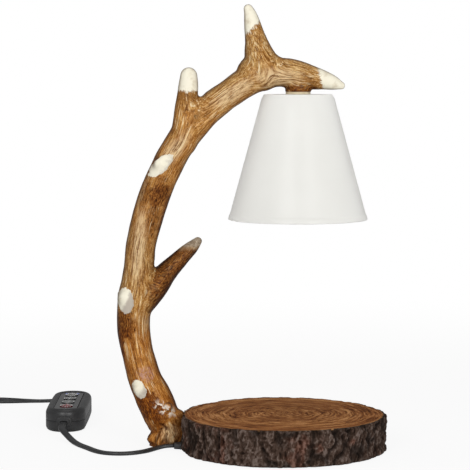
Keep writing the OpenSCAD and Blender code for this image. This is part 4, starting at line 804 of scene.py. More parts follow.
# Rows from the pocket's roof down its wall, out under the rim, up the bark and in over the top: each
# a share of the outline's radius plus an amount, its height, and its shares of bark and top relief.
def slabRows():
    low, top, pocket = slab["low"], slab["top"], slab["pocket"]
    rows = [(0, r, slab["roof"], 0, 0) for r in (4, 30, pocket)]
    rows += [(0, pocket, z, 0, 0) for z in (12, low)]
    rows += [(s, (1 - s) * pocket - s * 5.0, low, 0, 0) for s in np.linspace(0.15, 1, 6)]
    rows += [(1, -3.6, 0.5 * low, 0.2, 0), (1, -2.2, 0.3, 0.4, 0)]
    rows += [
        (1, -1.6 * (1 - t) ** 2, 0.3 + 1.6 * t ** 1.5, 0.4 + 0.6 * t, 0) for t in np.linspace(0.25, 1, 4)]
    rows += [(1, 0, z, 1, 0) for z in np.linspace(2.4, top - 1.4, 42)]
    rows += [
        (1, -1.1 * t ** 2, top - 1.1 * (1 - t) ** 1.6, 1 - 0.45 * t, 0) for t in np.linspace(0.2, 1, 5)]
    rows += [
        (1, -1.1 - d, top, 0.55 * max(0, 1 - d / 2.2), min(1, d / 1.5)) for d in (0.7, 1.4, 2.1, 2.8)]
    rows += [(s, -3.9 * s, top, 0, 1) for s in np.linspace(0.985, 0.02, 46)]
    return np.array(rows, float)


share, fixed, rowZ, barkShare, topShare = (slabRows()[:, i:i + 1] for i in range(5))
turn = angles(slab["around"])[None, :]
outline = slabRadius(turn)
bark3 = np.stack([np.cos(turn) * outline + 0 * rowZ, np.sin(turn) * outline + 0 * rowZ, rowZ + 0 * turn], -1)
drift = np.stack([layered(bark3 / 9, 2, seed) for seed in (61, 62, 63)], -1)
wandering = bark3 + 6.0 * drift * [1, 1, 1.2]
plates = folded(wandering / [10.5, 10.5, 21], 2, 31)  # near 0 along the cracks between plates
shelves = folded(bark3 / [12, 12, 5.2], 3, 35)
curls = 1 - folded(wandering / [4.0, 4.0, 4.4], 2, 51)  # near 1 along sharp ridges
flakes = layered(bark3 / [1.3, 1.3, 2.2], 2, 37)
bark = -slab["fissure"] * (1 - smooth(0.0, 0.34, plates))
bark = bark - slab["shelf"] * (1 - smooth(0.0, 0.3, shelves)) * smooth(0.1, 0.5, plates)
bark = bark + slab["bulge"] * layered(bark3 / 16, 2, 33) * 2
bark = bark + slab["curl"] * (curls ** 2 - 0.45) + slab["flake"] * flakes * 2 + 0.25
bark = bark - slab["notch"] * np.exp(-((turn - math.radians(47)) / 0.035) ** 2) * smooth(14, 26, rowZ)
ringRadius = share * outline + fixed + barkShare * bark
edgeGap = outline - ringRadius
slabX, slabY = ringRadius * np.cos(turn), ringRadius * np.sin(turn)
ringRun = ringRadius / outline * slab["radius"]
onTop = np.stack([slabX, slabY, 0 * slabX], -1)
saw = layered(onTop / [3.0, 40, 1], 2, 41) * slab["saw"]
ripple = slab["ripple"] * np.sin(2 * np.pi * (ringRun + 3.0 * layered(onTop / 14, 3, 43)) / slab["ringGap"])
rimSwell = slab["rimSwell"] * layered(bark3 / 6, 2, 45) * np.clip(barkShare * 1.6, 0, 1) * smooth(24, 28, rowZ)
slabZ = rowZ + topShare * (saw + ripple) + rimSwell - 0.25 * topShare * smooth(3.0, 0.5, edgeGap)
seated = (np.abs(slabY - foot[1]) < slab["seatHalf"]) & (slabX < slab["seatX"])
slabX = np.where(seated, slab["seatX"], slabX)


# Sawn wood with growth rings and pores on top; dark bark round the side, with painted highlights on
# its ridges and painted shade in its cracks.
def logPaint():
    f = Finish("logSlice", specular=0.03)
    where = f.place()
    drift = f.node("ShaderNodeCombineXYZ", {0: f.times(f.noise(where, 60, 4, 0.6), 7.5)}).outputs[0]
    ringAt = f.node("ShaderNodeVectorMath", {0: f.own("ringPlace", "Vector"), 1: drift}, operation="ADD")
    rings, wide = f.noise(ringAt.outputs[0], 0.46, 5, 0.75), f.noise(ringAt.outputs[0], 0.12, 2, 0.5)
    pores = f.noise(where, 700, 4, 0.75)
    f.paint = f.ramp(
        rings, (0.36, (0.075, 0.020, 0.004)), (0.45, (0.245, 0.085, 0.021)), (0.52, (0.45, 0.186, 0.058)),
        (0.64, (0.70, 0.36, 0.145)))
    f.tint(f.spread(wide, 0.62, 0.40, 0, 0.6), (0.62, 0.50, 0.42))
    f.over(f.spread(pores, 0.42, 0.32, 0, 0.8), (0.055, 0.020, 0.006))
    # Painted highlight: a paler tan band along the top edge, next to the bark.
    f.over(f.times(f.own("rim"), f.spread(pores, 0.35, 0.6, 0.2, 0.8)), (0.36, 0.23, 0.11))
    woodColour = f.paint
    barkNoise = f.noise(f.place((1, 1, 0.55)), 420, 5, 0.72)
    # The bark's colour rises with its height: painted highlight on the ridges, painted shade in the hollows.
    f.paint = f.ramp(
        f.plus(f.own("ridgeHighlight"), f.swing(barkNoise, 1.3)), (0.22, (0.012, 0.007, 0.005)),
        (0.45, (0.040, 0.024, 0.017)), (0.62, (0.072, 0.046, 0.035)), (0.80, (0.15, 0.112, 0.095)))
    f.tint(f.spread(f.noise(where, 50), 0.54, 0.66, 0, 0.65), (1.3, 0.80, 0.66))
    # Painted shade: the cracks near black.
    f.over(f.times(f.own("crackShadow"), 0.75), (0.008, 0.006, 0.005))
    wood = f.own("wood")
    f.set("colour", f.mix(wood, f.paint, woodColour))
    f.set("rough", f.spread(wood, 0, 1, 0.78, 0.62))
    f.bump(f.mix(wood, barkNoise, f.times(pores, 0.35)), 0.6, 0.0006)
    return f


slabPiece = gridsPiece("logSlice", [np.stack([slabX, slabY, slabZ], -1)], logPaint(), "log_slice")
wood = smooth(1.6, 2.6, edgeGap - 0.8 * layered(bark3 / 3.0, 2, 47)) * (rowZ > 27)
wood = wood + (rowZ < 2) * smooth(2.0, 3.5, edgeGap) + ((rowZ > 2.5) & (share < 0.5)) * 1.0
# How high the bark stands, for its painted highlight.
ridgeHighlight = 0.42 * curls ** 1.5 + 0.55 * (flakes + 0.5)
# The rings' own space: distance from the pith, and the way round as a circle of 6 mm.
ringPlace = np.stack([ringRun, 6 * np.cos(turn) + 0 * slabX, 6 * np.sin(turn) + 0 * slabX], -1)
# The last two points are the middles of the end rows.
vertexData(slabPiece, {
    name: np.concatenate([values.reshape(-1, *values.shape[2:]), np.full((2, *values.shape[2:]), atEnds)])
    for name, values, atEnds in (
        ("wood", np.clip(wood, 0, 1), 1.0), ("crackShadow", 1 - smooth(0.0, 0.30, plates), 0.0),
        # The rim is the painted highlight along the top edge.
        ("ridgeHighlight", np.clip(ridgeHighlight, 0, 1), 0.0), ("rim", smooth(3.4, 1.2, edgeGap) * (rowZ > 26.4), 0.0),
        ("ringPlace", ringPlace, 0.0))})
print("log slice")

# The shade, in mm.
shade = {
    "bottom": 53.4, "top": 27.1, "low": 179.0, "high": 275.0, "wall": 0.8, "hem": 4.0, "proud": 0.4,
    "hole": 5.2, "corner": 1.6}
headAt = (11.0, 0.0)
slope = (shade["top"] - shade["bottom"]) / (shade["high"] - shade["low"])


# The cone's radius falls in a straight line with height.
def coneRadius(z):
    return shade["bottom"] + slope * (z - shade["low"])


# Over the top, round the shoulder, down the cone, out over the rolled hem and back up inside.
def shadeRows():
    low, high, wall, proud, corner = (shade[key] for key in ("low", "high", "wall", "proud", "corner"))
    hem = low + shade["hem"]
    lean = math.degrees(math.atan(-slope))
    shoulder = (coneRadius(high) - corner * 1.18, high - corner)
    rows = [[shade["hole"], high], [12, high], [20, high]] + arc(shoulder, corner, 90, lean, 7)
    rows += [[coneRadius(z), z] for z in np.linspace(high - 3.5, hem + 1.2, 16)]
    rows += [[coneRadius(hem) + 0.05, hem + 0.25], [coneRadius(hem) + proud, hem - 0.35]]
    rows += [[coneRadius(z) + proud, z] for z in np.linspace(hem - 0.9, low + 0.9, 4)]
    rows += arc((coneRadius(low + 0.6) - 0.25, low + 0.65), 0.65, 0, -180, 7)
    rows += [[coneRadius(z) - wall - 0.3, z] for z in (low + 1.4, hem)]
    rows += [[coneRadius(z) - wall, z] for z in np.linspace(hem + 0.6, high - 3.2, 12)]
    rows += arc(shoulder, corner - wall, lean, 90, 5)
    return rows + [[20, high - wall], [shade["hole"], high - wall]]


# A closed turned piece about the head's axis.
def turned(name, rows, around, finish, replaced, body="lamp"):
    gridsPiece(name, [lathe(rows, around, headAt)], finish, replaced, body, joinRows=True)


enamel = plainFinish(
    "whiteEnamel", (0.755, 0.75, 0.72), (0.79, 0.785, 0.755), 0.45, patch=9, grain=1500, depth=0.00002,
    coat=0.12, coatRough=0.3, diffuseRough=1.0)
turned("shadeShell", shadeRows(), 160, enamel, "shade")
ivory = plainFinish("ivoryDisc", (0.70, 0.60, 0.40), (0.80, 0.71, 0.52), 0.5, patch=120)
discRows = [[5.2, 275.02]] + arc((9.1, 275.5), 0.45, -90, 0, 4) + arc((9.1, 276.5), 0.45, 0, 90, 4)
turned("stubWasher", discRows + [[5.2, 276.95]], 64, ivory, "stub_washer")

# The bulb, in mm.
bulb = {
    "front": 194.2, "rim": 25.0, "neck": 12.65, "bowlLow": 4.0, "bowlHigh": 35.5, "glassWall": 1.6,
    "baseLow": 228.2, "baseHigh": 241.1, "pinGap": 10.0, "facet": 0.45, "around": 144}
front, rim = bulb["front"], bulb["rim"]


# The bowl widens from its neck as the square root of the share of its height still to go.
def bowlRows(inset):
    t = np.linspace(0, 1, 30)
    radius = (bulb["neck"] - inset) + (rim - bulb["neck"]) * np.sqrt(1 - t)
    return np.stack([radius, front + bulb["bowlLow"] + t * (bulb["bowlHigh"] - bulb["bowlLow"])], 1).tolist()


outside = [[rim - 0.5, front], [rim, front + 0.5]] + bowlRows(0.0)
inside = bowlRows(bulb["glassWall"])[::-1]
lip = [[22.2, front + 3.0], [23.3, front + 3.0], [23.3, front]]
bowl = lathe(outside + inside + lip, bulb["around"], headAt)
facets = bowl[len(outside):len(outside) + len(inside), :, :2]
facetRow = np.arange(len(inside))[:, None]
acrossFacet = np.abs(np.sin(np.pi * (np.arange(bulb["around"])[None, :] / 6 + 0.5 * (facetRow // 3 % 2))))
facet = acrossFacet * np.abs(np.sin(np.pi * (facetRow + 0.5) / 3))
facets += unit(facets - np.array(headAt)) * (-bulb["facet"] * facet[..., None])
mirror = Finish("mirrorGlass", metal=1.0)
sheenTint = mirror.spread(mirror.noise(mirror.place(), 40, 2), 0.35, 0.65)
mirror.set("colour", mirror.mix(sheenTint, (0.80, 0.80, 0.82), (0.90, 0.88, 0.84)))
mirror.set("rough", mirror.spread(mirror.noise(mirror.place(), 600, 2), 0.3, 0.7, 0.08, 0.16))
gridsPiece("bulbReflector", [bowl], mirror, "bulb_reflector", "bulb", joinRows=True)

glass = Finish("clearGlass", transmission=1.0, ior=1.46)
smear = glass.noise(glass.place(), 120)
glass.set("colour", glass.mix(glass.spread(smear, 0.4, 0.7), (0.97, 0.98, 0.98), (0.93, 0.95, 0.96)))
glass.set("rough", glass.spread(smear, 0.3, 0.7, 0.01, 0.05))
paneRadii = (0.4, 6, 12, 18, 22)
paneRows = [[r, front + 0.35 + 0.8 * (r / 23.1) ** 2] for r in paneRadii] + [[23.1, front + 0.9]]
paneRows += [[23.2, front + 1.4]]
paneRows += [[r, front + 2.0 + 0.9 * (r / 23.1) ** 2] for r in (*paneRadii, 23.1)][::-1]
gridsPiece("bulbGlass", [lathe(paneRows, 96, headAt)], glass, "bulb_glass", "bulb")
tubeLow = front + 18
tubeRows = arc((0, tubeLow + 4.2), 4.2, -88, 0, 8)
tubeRows += [[4.2, tubeLow + 13], [3.9, tubeLow + 14.5], [3.2, tubeLow + 20.4], [2.6, tubeLow + 20.4]]
tubeRows += [[3.3, tubeLow + 12]] + arc((0, tubeLow + 4.3), 3.5, 0, -88, 8)
turned("bulbCapsule", tubeRows, 48, glass, "bulb_capsule", "bulb")

# The filament: a fine wire wound along X, on two support wires.
along = np.linspace(0, 1, 220)
winding = 2 * np.pi * 14 * along
wound = np.stack(
    [headAt[0] - 2.0 + 4.0 * along, 0.42 * np.cos(winding), tubeLow + 6 + 0.42 * np.sin(winding)], 1)
wires = [carried(wound, circle(0.09, 6), ref=(0.3, 1, 0.2))]
for side in (-1, 1):
    leg = [
        [headAt[0] + side * out, y, tubeLow + up]
        for out, y, up in ((2.0, 0.4, 6.0), (1.8, 0.1, 8), (1.6, 0, 11.5))]
    wires.append(carried(curveThrough(leg, 0.5), circle(0.2, 8), ref=(0, 1, 0)))
gridsPiece(
    "bulbFilament", wires, metalFinish("tungsten", (0.35, 0.34, 0.33), 0.4),
    "bulb_filament", "bulb")
ceramic = plainFinish(
    "whiteCeramic", (0.72, 0.71, 0.67), (0.80, 0.79, 0.76), 0.3, patch=90, coat=0.4, coatRough=0.15)
low, high = bulb["baseLow"], bulb["baseHigh"]
baseRows = [[4.5, low], [10.3, low], [10.85, low + 0.4], [11, low + 1.2], [11, high - 1.2]]
baseRows += arc((10.2, high - 0.8), 0.8, 0, 90, 5) + [[6, high], [0.5, high], [0.5, low + 5], [4.5, low + 5]]
turned("bulbBase", baseRows, 80, ceramic, "bulb_base", "bulb")
pinRows = [[1.5, 238.2], [1.5, 245.75], [2.2, 245.85], [2.5, 246.15], [2.5, 247.7]]
pinRows += arc((2.0, 247.7), 0.5, 0, 90, 4) + [[0.4, 248.2]]
gridsPiece(
    "bulbPins", [lathe(pinRows, 40, (headAt[0] + side * bulb["pinGap"] / 2, 0)) for side in (-1, 1)],
    metalFinish("pinSteel", (0.62, 0.62, 0.60), 0.28), "bulb_pins", "bulb")
print("shade and bulb")

# The controller, in mm: lengths from its middle, heights from the table.
ctl = {"halfLength": 50.0, "bow": 0.05, "face": 18.2, "key": 18.9, "keyRadius": 5.3, "print": 0.06}
keyRows = {"timer": 26.6, "brighter": 8.7, "dimmer": -9.5, "power": -27.7}
lightRow, lightGap, redRow = 34.8, 4.6, -18.5


# Rows of stadiums whose outer ones draw in towards both ends with the square of the distance.
def housing(rows, straight=14):
    points = stadiums(rows, ctlAt, 28, straight)
    outer = smooth(9.8, 14, np.asarray(rows, float)[:, :1])
    along = (points[..., 1] - ctlAt[1]) / ctl["halfLength"]
    points[..., 0] = ctlAt[0] + (points[..., 0] - ctlAt[0]) * (1 - ctl["bow"] * outer * along ** 2)
    return points


shell = plainFinish(
    "shellBlack", (0.020, 0.020, 0.021), (0.030, 0.030, 0.031), 0.40, patch=40, grain=2600, depth=0.00003)
gloss = plainFinish(
    "faceBlack", (0.0075, 0.0075, 0.0085), (0.012, 0.012, 0.013), 0.22, patch=70, grain=3000, depth=0.00001)
topRows = [
    [14.7, 48, 9.06], [16.35, 49.65, 9.06], [16.62, 49.92, 9.2], [16.7, 50, 9.5], [16.7, 50, 11.5],
    [16.7, 50, 13.6], [16.6, 49.9, 15.0], [16.3, 49.6, 16.2], [15.75, 49.1, 17.2], [15.0, 48.45, 18.0],
    [14.1, 47.75, 18.55], [13.2, 47.15, 18.88], [12.4, 46.65, 19.0], [11.7, 46.2, 18.97], [11.0, 45.75, 18.8],
    [10.4, 45.35, 18.5], [9.95, 45.0, 18.1], [9.65, 44.72, 17.6], [9.5, 44.6, 17.0], [9.5, 44.6, 16.62],
    [9.5, 44.6, 15.4], [12, 47, 14.6], [14.7, 48, 13.6],
]
gridsPiece("controllerTop", [housing(topRows)], shell, "controller_top", joinRows=True)
bottomRows = [
    [14.7, 48, 8.94], [16.35, 49.65, 8.94], [16.62, 49.92, 8.8], [16.7, 50, 8.5], [16.7, 50, 6],
    [16.7, 50, 3.8], [16.5, 49.8, 2.6], [16.0, 49.3, 1.5], [15.2, 48.5, 0.65], [14.3, 47.6, 0.15],
    [13.4, 46.7, 0.0],
] + [[w, w + 33.3, 0.0] for w in np.linspace(12.9, 0.6, 22)]
# Four screw wells, each with a rim that stands in it.
wells = [(ctlAt[0] + x, ctlAt[1] + y) for x in (-12, 12) for y in (-31, 31)]
underside = housing(bottomRows, 108)
for well in wells:
    off = np.hypot(underside[..., 0] - well[0], underside[..., 1] - well[1])
    underside[..., 2] += np.where(underside[..., 2] < 0.3, 2.2 * (1 - smooth(2.2, 2.75, off)), 0)
wellRows = [[2.2, 2.3], [2.2, 0.2], [2.35, 0.03], [2.85, 0.03], [3.1, 0.3], [3.1, 2.3]]
gridsPiece(
    "controllerBottom", [underside] + [lathe(wellRows, 36, well) for well in wells], shell,
    "controller_bottom", joinRows=[False] + [True] * 4)
print("housing")


# A key and its printed marks, told apart by an attribute: 1 is white and 0.5 the power mark's red.
def keyFinish(name, dark, light):
    f = Finish(name)
    where, printed = f.place(), f.own("printed")
    f.paint = f.mix(f.spread(f.noise(where, 90), 0.35, 0.65), dark, light)
    f.over(f.spread(printed, 0.3, 0.45), (0.46, 0.025, 0.04))
    f.over(f.spread(printed, 0.6, 0.9), (0.80, 0.80, 0.78))
    f.set("colour", f.paint)
    grainy = f.spread(f.noise(where, 3000, 2), 0.3, 0.7, 0.20, 0.28)
    f.set("rough", f.plus(grainy, f.spread(printed, 0.2, 0.5, 0, 0.2)))
    return f


# A printed line's section, from just under the surface to its height.
def printSection(width):
    half = width / 2
    return [[-half, -0.02], [half, -0.02], [half, ctl["print"]], [-half, ctl["print"]]]


# A printed ring: a flat section turned about the key's axis.
def ringPrint(at, z, outer, inner):
    low, high = z - 0.02, z + ctl["print"]
    return lathe([[inner, low], [inner, high], [outer, high], [outer, low]], 72, at)


# Printed lines: each straight stretch is a flat bar, longer by half its width at both ends.
def strokes(at, z, lines, width):
    made = []
    for line in lines:
        points = np.array([[at[0] + x, at[1] + y, z] for x, y in line], float)
        for a, b in zip(points[:-1], points[1:]):
            end = unit(b - a) * (width / 2)
            made.append(carried(np.array([a - end, b + end]), printSection(width)))
    return made


across = [(-2.2, 0), (2.2, 0)]
keyMarks = {
    "timer": {"rings": [(5.28, 4.62), (4.22, 3.72)], "lines": [[(0, 2.2), (0, 0), (2.0, 0)]], "width": 0.62},
    "brighter": {"rings": [(5.28, 4.74)], "lines": [across, [(0, -2.2), (0, 2.2)]], "width": 0.66},
    "dimmer": {"rings": [(5.28, 4.74)], "lines": [across], "width": 0.72},
    "power": {"rings": [(5.28, 4.66)], "lines": [[(0, 0.6), (0, 2.9)]], "width": 0.6},
}


# A key: its section turned about its own axis, with its printed rings and bars as part of it.
def makeKey(name, finish, mark):
    at, radius, z = (ctlAt[0], ctlAt[1] + keyRows[name]), ctl["keyRadius"], ctl["key"]
    rows = [[0.3, 14.72], [1.7, 14.72], [1.7, 15.5], [6.2, 15.5], [6.2, 16.5], [radius, 16.5]]
    rows += [[radius, z - 0.32]]
    rows += arc((radius - 0.28, z - 0.28), 0.28, 0, 90, 5) + [[radius - 1.2, z], [2.4, z], [0.3, z]]
    rings = [ringPrint(at, z, *pair) for pair in mark["rings"]]
    bars = strokes(at, z, mark["lines"], mark["width"])
    if name == "power":
        bow = arc(at, 2.35, 128, 412, 40)
        bars.append(carried(np.array([[*point, z] for point in bow]), printSection(0.6)))
    piece = gridsPiece(
        name + "Key", [lathe(rows, 72, at)] + rings + bars, finish, "button_" + name, name + "_button",
        joinRows=[False] + [True] * len(rings) + [False] * len(bars))
    keySize, ringSize = len(rows) * 72 + 2, sum(ring.shape[0] * ring.shape[1] for ring in rings)
    printed = np.zeros(len(piece.data.vertices))
    printed[keySize:] = 1
    if name == "power":
        printed[keySize + ringSize:] = 0.5
    vertexData(piece, {"printed": printed})


blackKey = keyFinish("keyBlack", (0.0075, 0.0075, 0.0085), (0.012, 0.012, 0.013))
redKey = keyFinish("keyRed", (0.085, 0.002, 0.006), (0.13, 0.004, 0.010))
for keyName, mark in keyMarks.items():
    isRed = keyName == "power"
    makeKey(keyName, redKey if isRed else blackKey, mark)

# Lights: small domes over the face, three blue and one red, and the plain marks above the blue ones.
white = plainFinish("printWhite", (0.74, 0.74, 0.72), (0.84, 0.84, 0.82), 0.5, patch=300)
blue = plainFinish(
    "lightBlue", (0.035, 0.075, 0.36), (0.07, 0.13, 0.52), 0.25, patch=700, glow=(0.05, 0.10, 0.45),
    glowStrength=0.25)
red = plainFinish(
    "lightRed", (0.16, 0.004, 0.010), (0.26, 0.008, 0.016), 0.3, patch=900, glow=(0.3, 0.01, 0.02),
    glowStrength=0.15)


# A light: a straight stem under a dome, a quarter of an ellipse turned about its axis.
def lens(x, y):
    rows = [[0.3, 9.3], [0.9, 9.3], [0.9, 18.16], [1.36, 18.19]]
    rows += [[1.38 * math.cos(a), 18.21 + 0.26 * math.sin(a)] for a in np.linspace(0.15, 1.5, 7)]
    return lathe(rows, 36, (ctlAt[0] + x, ctlAt[1] + y))


blueLenses = [lens(x, lightRow) for x in (-lightGap, 0, lightGap)]
gridsPiece("blueLights", blueLenses, blue, "lights_blue")
gridsPiece("redLight", [lens(0, redRow)], red, "light_red")
glyphs = {
    "8": [[(0, 0), (1, 0), (1, 2), (0, 2), (0, 0)], [(0, 1), (1, 1)]],
    "4": [[(0, 2), (0, 0.9), (1, 0.9)], [(1, 2), (1, 0)]],
    "2": [[(0, 2), (1, 2), (1, 1), (0, 1), (0, 0), (1, 0)]],
    "H": [[(0, 0), (0, 2)], [(1, 0), (1, 2)], [(0, 1), (1, 1)]],
}
hourMarks = []
for column, digit in enumerate("842"):
    for place, glyph in enumerate((digit, "H")):
        corner = (ctlAt[0] + (column - 1) * lightGap - 1.35 + 1.5 * place, ctlAt[1] + 37.3)
        lines = [[(x * 1.0, y * 0.68) for x, y in line] for line in glyphs[glyph]]
        hourMarks += strokes(corner, ctl["face"], lines, 0.26)
gridsPiece("hourMarks", hourMarks, white, flat=True)
print("buttons, lights and marks")

# The strain reliefs, rounded oblong sections along Y: a wide step, a narrow step with a lip, and
# the bore back through.
reliefRows = [
    (9.0, 6.2, 48.6), (11.9, 7.9, 48.95), (12.45, 8.4, 49.2), (12.6, 8.6, 49.6), (12.6, 8.6, 51.1),
    (12.4, 8.4, 51.6), (11.8, 7.9, 51.95), (9.0, 6.4, 52.0), (8.7, 6.1, 52.2), (8.6, 6.0, 53.6),
    (9.1, 6.5, 53.8), (9.2, 6.6, 54.4), (8.9, 6.3, 54.75), (7.4, 4.9, 54.8), (6.8, 4.3, 55.5),
    (6.2, 3.6, 55.6), (5.8, 3.2, 55.3), (5.8, 3.2, 48.6),
]
oblong = flatProfile(1, 1, 48, 0, 0.55)
rubber = plainFinish(
    "reliefRubber", (0.018, 0.018, 0.019), (0.028, 0.028, 0.029), 0.55, patch=80, grain=2000)
for name, way in (("lamp", -1), ("mains", 1)):
    grommet = sections(
        oblong, reliefRows, lambda u, v, along: (ctlAt[0] + u, ctlAt[1] + way * along, relief["height"] + v))
    gridsPiece(name + "Relief", [grommet], rubber, f"relief_{name}_side", joinRows=True)

# The bushing: a body through the wood, a collar against the bark and a tapered nose.
bushRows = [
    (8.8, 4.8, -55.0), (9.0, 5.0, -56), (9.0, 5.0, -78.2), (9.9, 5.3, -78.6), (10.3, 5.4, -79.2),
    (10.1, 5.3, -79.8), (9.2, 5.0, -80.1), (8.6, 4.9, -81.5), (8.0, 4.8, -83.2), (7.6, 4.6, -84.1),
    (7.0, 4.2, -84.5), (6.0, 3.4, -84.5), (5.8, 3.2, -84.2), (5.8, 3.2, -55.0),
]
bushing = sections(oblong, bushRows, lambda u, v, along: (along, mouth[1] + u, 3.7 + v))
gridsPiece("cordBushing", [bushing], rubber, "cord_bushing", joinRows=True)

# A strap round the coil's bundle: a rounded oblong loop that stands across the turns.
tie = {"angle": -50, "halfSpan": 7.6, "low": 0.5, "high": 12.4, "corner": 2.6, "width": 12, "thick": 1.0}
outward = np.array([math.cos(math.radians(tie["angle"])), math.sin(math.radians(tie["angle"])), 0])
sideways = np.array([-outward[1], outward[0], 0])
cornerX, lowZ, highZ = tie["halfSpan"] - tie["corner"], tie["low"] + tie["corner"], tie["high"] - tie["corner"]
corners = ((cornerX, lowZ, -90), (cornerX, highZ, 0), (-cornerX, highZ, 90), (-cornerX, lowZ, 180))
loop = np.array([
    point for x, z, start in corners for point in arc((x, z), tie["corner"], start, start + 90, 8)])
loop = evenly(np.vstack([loop, loop[:1]]), 0.9)[:-1]
waist = np.sin(np.pi * smooth(tie["low"] + 1, tie["high"] - 1, loop[:, 1]))
loop[:, 0] -= 0.35 * waist * np.sign(loop[:, 0])


# A flat point put across the coil's bundle: out from its middle, and up.
def acrossBundle(points):
    out = cord["coilAcross"] / 2 + points[:, :1]
    return coilAt + outward * out + np.array([0, 0, 1]) * points[:, 1:2]


fabric = Finish("strapFabric", specular=0.2)
threads = fabric.spread(fabric.noise(fabric.place((1400, 1400, 1400)), 1.0, 1), 0.3, 0.7)
fabric.set("colour", fabric.mix(threads, (0.016, 0.016, 0.017), (0.034, 0.034, 0.036)))
fabric.set("rough", fabric.spread(threads, 0, 1, 0.8, 0.95))
fabric.bump(threads, 0.5, 0.00012)
strap = flatProfile(tie["thick"], tie["width"], 36, 0, 0.4)
round3 = acrossBundle(loop)
loopRings = carried(np.vstack([round3[-3:], round3, round3[:3]]), strap, ref=sideways)[3:-3]
endPath = np.array([[tie["halfSpan"] + 0.95, z] for z in np.linspace(tie["low"] + 2.0, tie["high"] - 2.2, 10)])
endStrap = carried(acrossBundle(endPath), strap * [0.8, 0.97], ref=sideways)
gridsPiece("coilTie", [loopRings], fabric, "coil_tie", joinRows=True)
gridsPiece("tieEnd", [endStrap], fabric, "coil_tie")

# The plug, in mm from where the cord ends in it.
plugAt = tailPath[-1] - [0, 0.1, 0]
plug = {"middle": 7.5, "neck": 14, "bladeGap": 12.7, "bladeLow": 30, "bladeTip": 56, "hole": 52.3}
neckRun = np.linspace(0.3, 13.6, 30)
ribs = 0.55 * np.maximum(0, np.sin(2 * np.pi * neckRun / 3.4)) ** 0.7
plugRows = [(6.2, 3.6, 0.0), (6.9, 4.2, 0.05)]
plugRows += [(7.0 + 5.2 * x / 14 + r, 4.4 + 3.9 * x / 14 + 0.8 * r, x) for x, r in zip(neckRun, ribs)]
plugRows += [
    (13.0, 9.0, 14.0), (14.4, 10.0, 14.5), (17.6, 11.8, 15.8), (21.0, 13.5, 18.0), (23.6, 14.5, 20.6),
    (24.8, 14.95, 23.5), (25.0, 15.0, 26.0), (24.5, 15.0, 29.0), (24.5, 15.0, 32.0), (24.9, 14.9, 35.0),
    (24.8, 14.6, 37.5), (24.3, 14.1, 39.2), (23.5, 13.3, 39.85), (22.6, 12.4, 40.0),
]


# The plug's middle sinks along its neck from the cord's height to the body's.
def plugPut(u, v, along):
    sink = (float(plugAt[2]) - plug["middle"]) * (1 - np.minimum(along / plug["neck"], 1))
    return plugAt[0] + u, plugAt[1] - along, plug["middle"] + sink + v


plugFinish = plainFinish(
    "plugBlack", (0.016, 0.016, 0.017), (0.026, 0.026, 0.027), 0.45, patch=60, grain=1600)
plugBody = sections(flatProfile(1, 1, 72, 0, 0.6), plugRows, plugPut)
gridsPiece("plugBody", [plugBody], plugFinish, "plug_body")


# A blade: its outline and the hole near its tip, on both faces, joined round as one closed surface.
def blade(x):
    a = angles(64)
    c, s = np.cos(a), np.sin(a)
    low, tip, halfHigh = plug["hole"] - plug["bladeLow"], plug["bladeTip"] - plug["hole"], 3.15
    ahead = np.where(c > 0, tip, low) / np.maximum(np.abs(c), 1e-6)
    reach = np.minimum(ahead, halfHigh / np.maximum(np.abs(s), 1e-6))
    outline = np.stack([reach * c, reach * s], 1)
    rounding = 0.9 * smooth(1.6, 3.15, np.abs(outline[:, 1])) * smooth(1.5, 3.6, outline[:, 0])
    outline[:, 0] -= np.where(c > 0, rounding, 0)
    hole = circle(1.55, 64)
    rows = [
        (outline * 0.985, -0.75), (outline, -0.6), (outline, 0.6), (outline * 0.985, 0.75), (hole, 0.75),
        (hole, -0.75)]
    return np.stack([
        np.stack([
            x + side + 0 * edge[:, 0], plugAt[1] - plug["hole"] - edge[:, 0], plug["middle"] + edge[:, 1]], -1)
        for edge, side in rows])


brass = metalFinish("bladeBrass", (0.68, 0.55, 0.30), 0.3, lines=(300, 300, 5000))
blades = [blade(plugAt[0] + side * plug["bladeGap"] / 2) for side in (-1, 1)]
gridsPiece("plugBlades", blades, brass, "plug_blades", joinRows=True, flat=True)

# The controller's pieces, listed. On the lamp it sits on the lamp's cord, and the mains cord starts from it.
switchPieces = (
    "controllerTop controllerBottom timerKey brighterKey dimmerKey powerKey blueLights redLight hourMarks "
    "lampRelief mainsRelief").split()
switchPieces += [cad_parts[node] for node in (
    "controller_face controller_board controller_leads controller_screws tact_switches plunger_timer "
    "plunger_brighter plunger_dimmer plunger_power").split()]
print("reliefs, tie and plug")

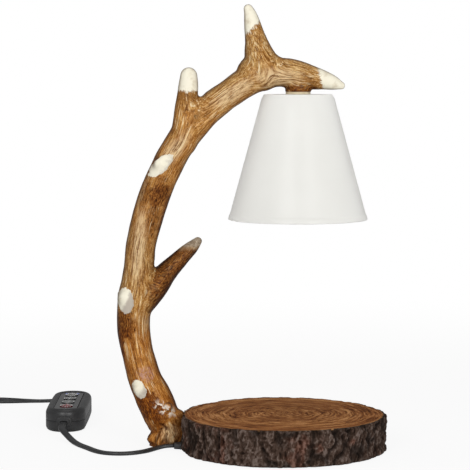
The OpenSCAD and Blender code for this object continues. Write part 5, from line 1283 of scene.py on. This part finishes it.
# Finishes of the CAD pieces that show or lie inside.
felt = Finish("blackFelt", rough=0.95, specular=0.1, sheen=0.25)
feltFibres = felt.spread(felt.noise(felt.place(), 2200, 4, 0.7), 0.35, 0.65)
felt.set("colour", felt.mix(feltFibres, (0.010, 0.010, 0.010), (0.032, 0.031, 0.030)))
felt.bump(feltFibres, 0.6, 0.0003)
for made, nodes in (
    (felt, "base_felt"),
    (metalFinish("zincSteel", (0.60, 0.61, 0.62), 0.34),
     "plate_screws clamp_screws cord_clamp foot_washer foot_dowel holder_screws controller_screws "
     "armature_tube"),
    (metalFinish("ballastSteel", (0.22, 0.22, 0.23), 0.5, lines=(300, 3000, 3000)), "ballast_plate"),
    (metalFinish("plainBrass", (0.72, 0.56, 0.28), 0.3),
     "thread_inserts foot_nipple foot_nut head_nipple shade_nut holder_contacts"),
    (metalFinish("holderAluminium", (0.70, 0.71, 0.72), 0.38), "holder_cap"),
    (metalFinish("switchTin", (0.62, 0.62, 0.60), 0.36), "tact_switches"),
    (plainFinish("darkFibreboard", (0.030, 0.020, 0.014), (0.050, 0.035, 0.025), 0.8, 300, 1400, 0.0002),
     "bottom_plate"),
    (plainFinish("whiteNylon", (0.66, 0.65, 0.60), (0.76, 0.75, 0.71), 0.45, 120), "wire_connectors"),
    (plainFinish("leadSleeve", (0.60, 0.59, 0.55), (0.72, 0.71, 0.67), 0.5, 160),
     "supply_lead lamp_lead controller_leads"),
    (plainFinish("fibreWasher", (0.16, 0.055, 0.028), (0.24, 0.09, 0.045), 0.75, 400), "shade_washer"),
    (ceramic, "holder_ceramic"),
    (plainFinish(
        "boardGreen", (0.010, 0.075, 0.030), (0.018, 0.115, 0.050), 0.3, 250, coat=0.4, coatRough=0.1),
     "controller_board"),
    (plainFinish("plungerPlastic", (0.035, 0.035, 0.036), (0.055, 0.055, 0.056), 0.4, 300),
     "plunger_timer plunger_brighter plunger_dimmer plunger_power"),
    (gloss, "controller_face"),
):
    for node in nodes.split():
        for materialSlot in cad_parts[node].material_slots:
            materialSlot.material = made.material
print("finishes of the carried-over pieces")
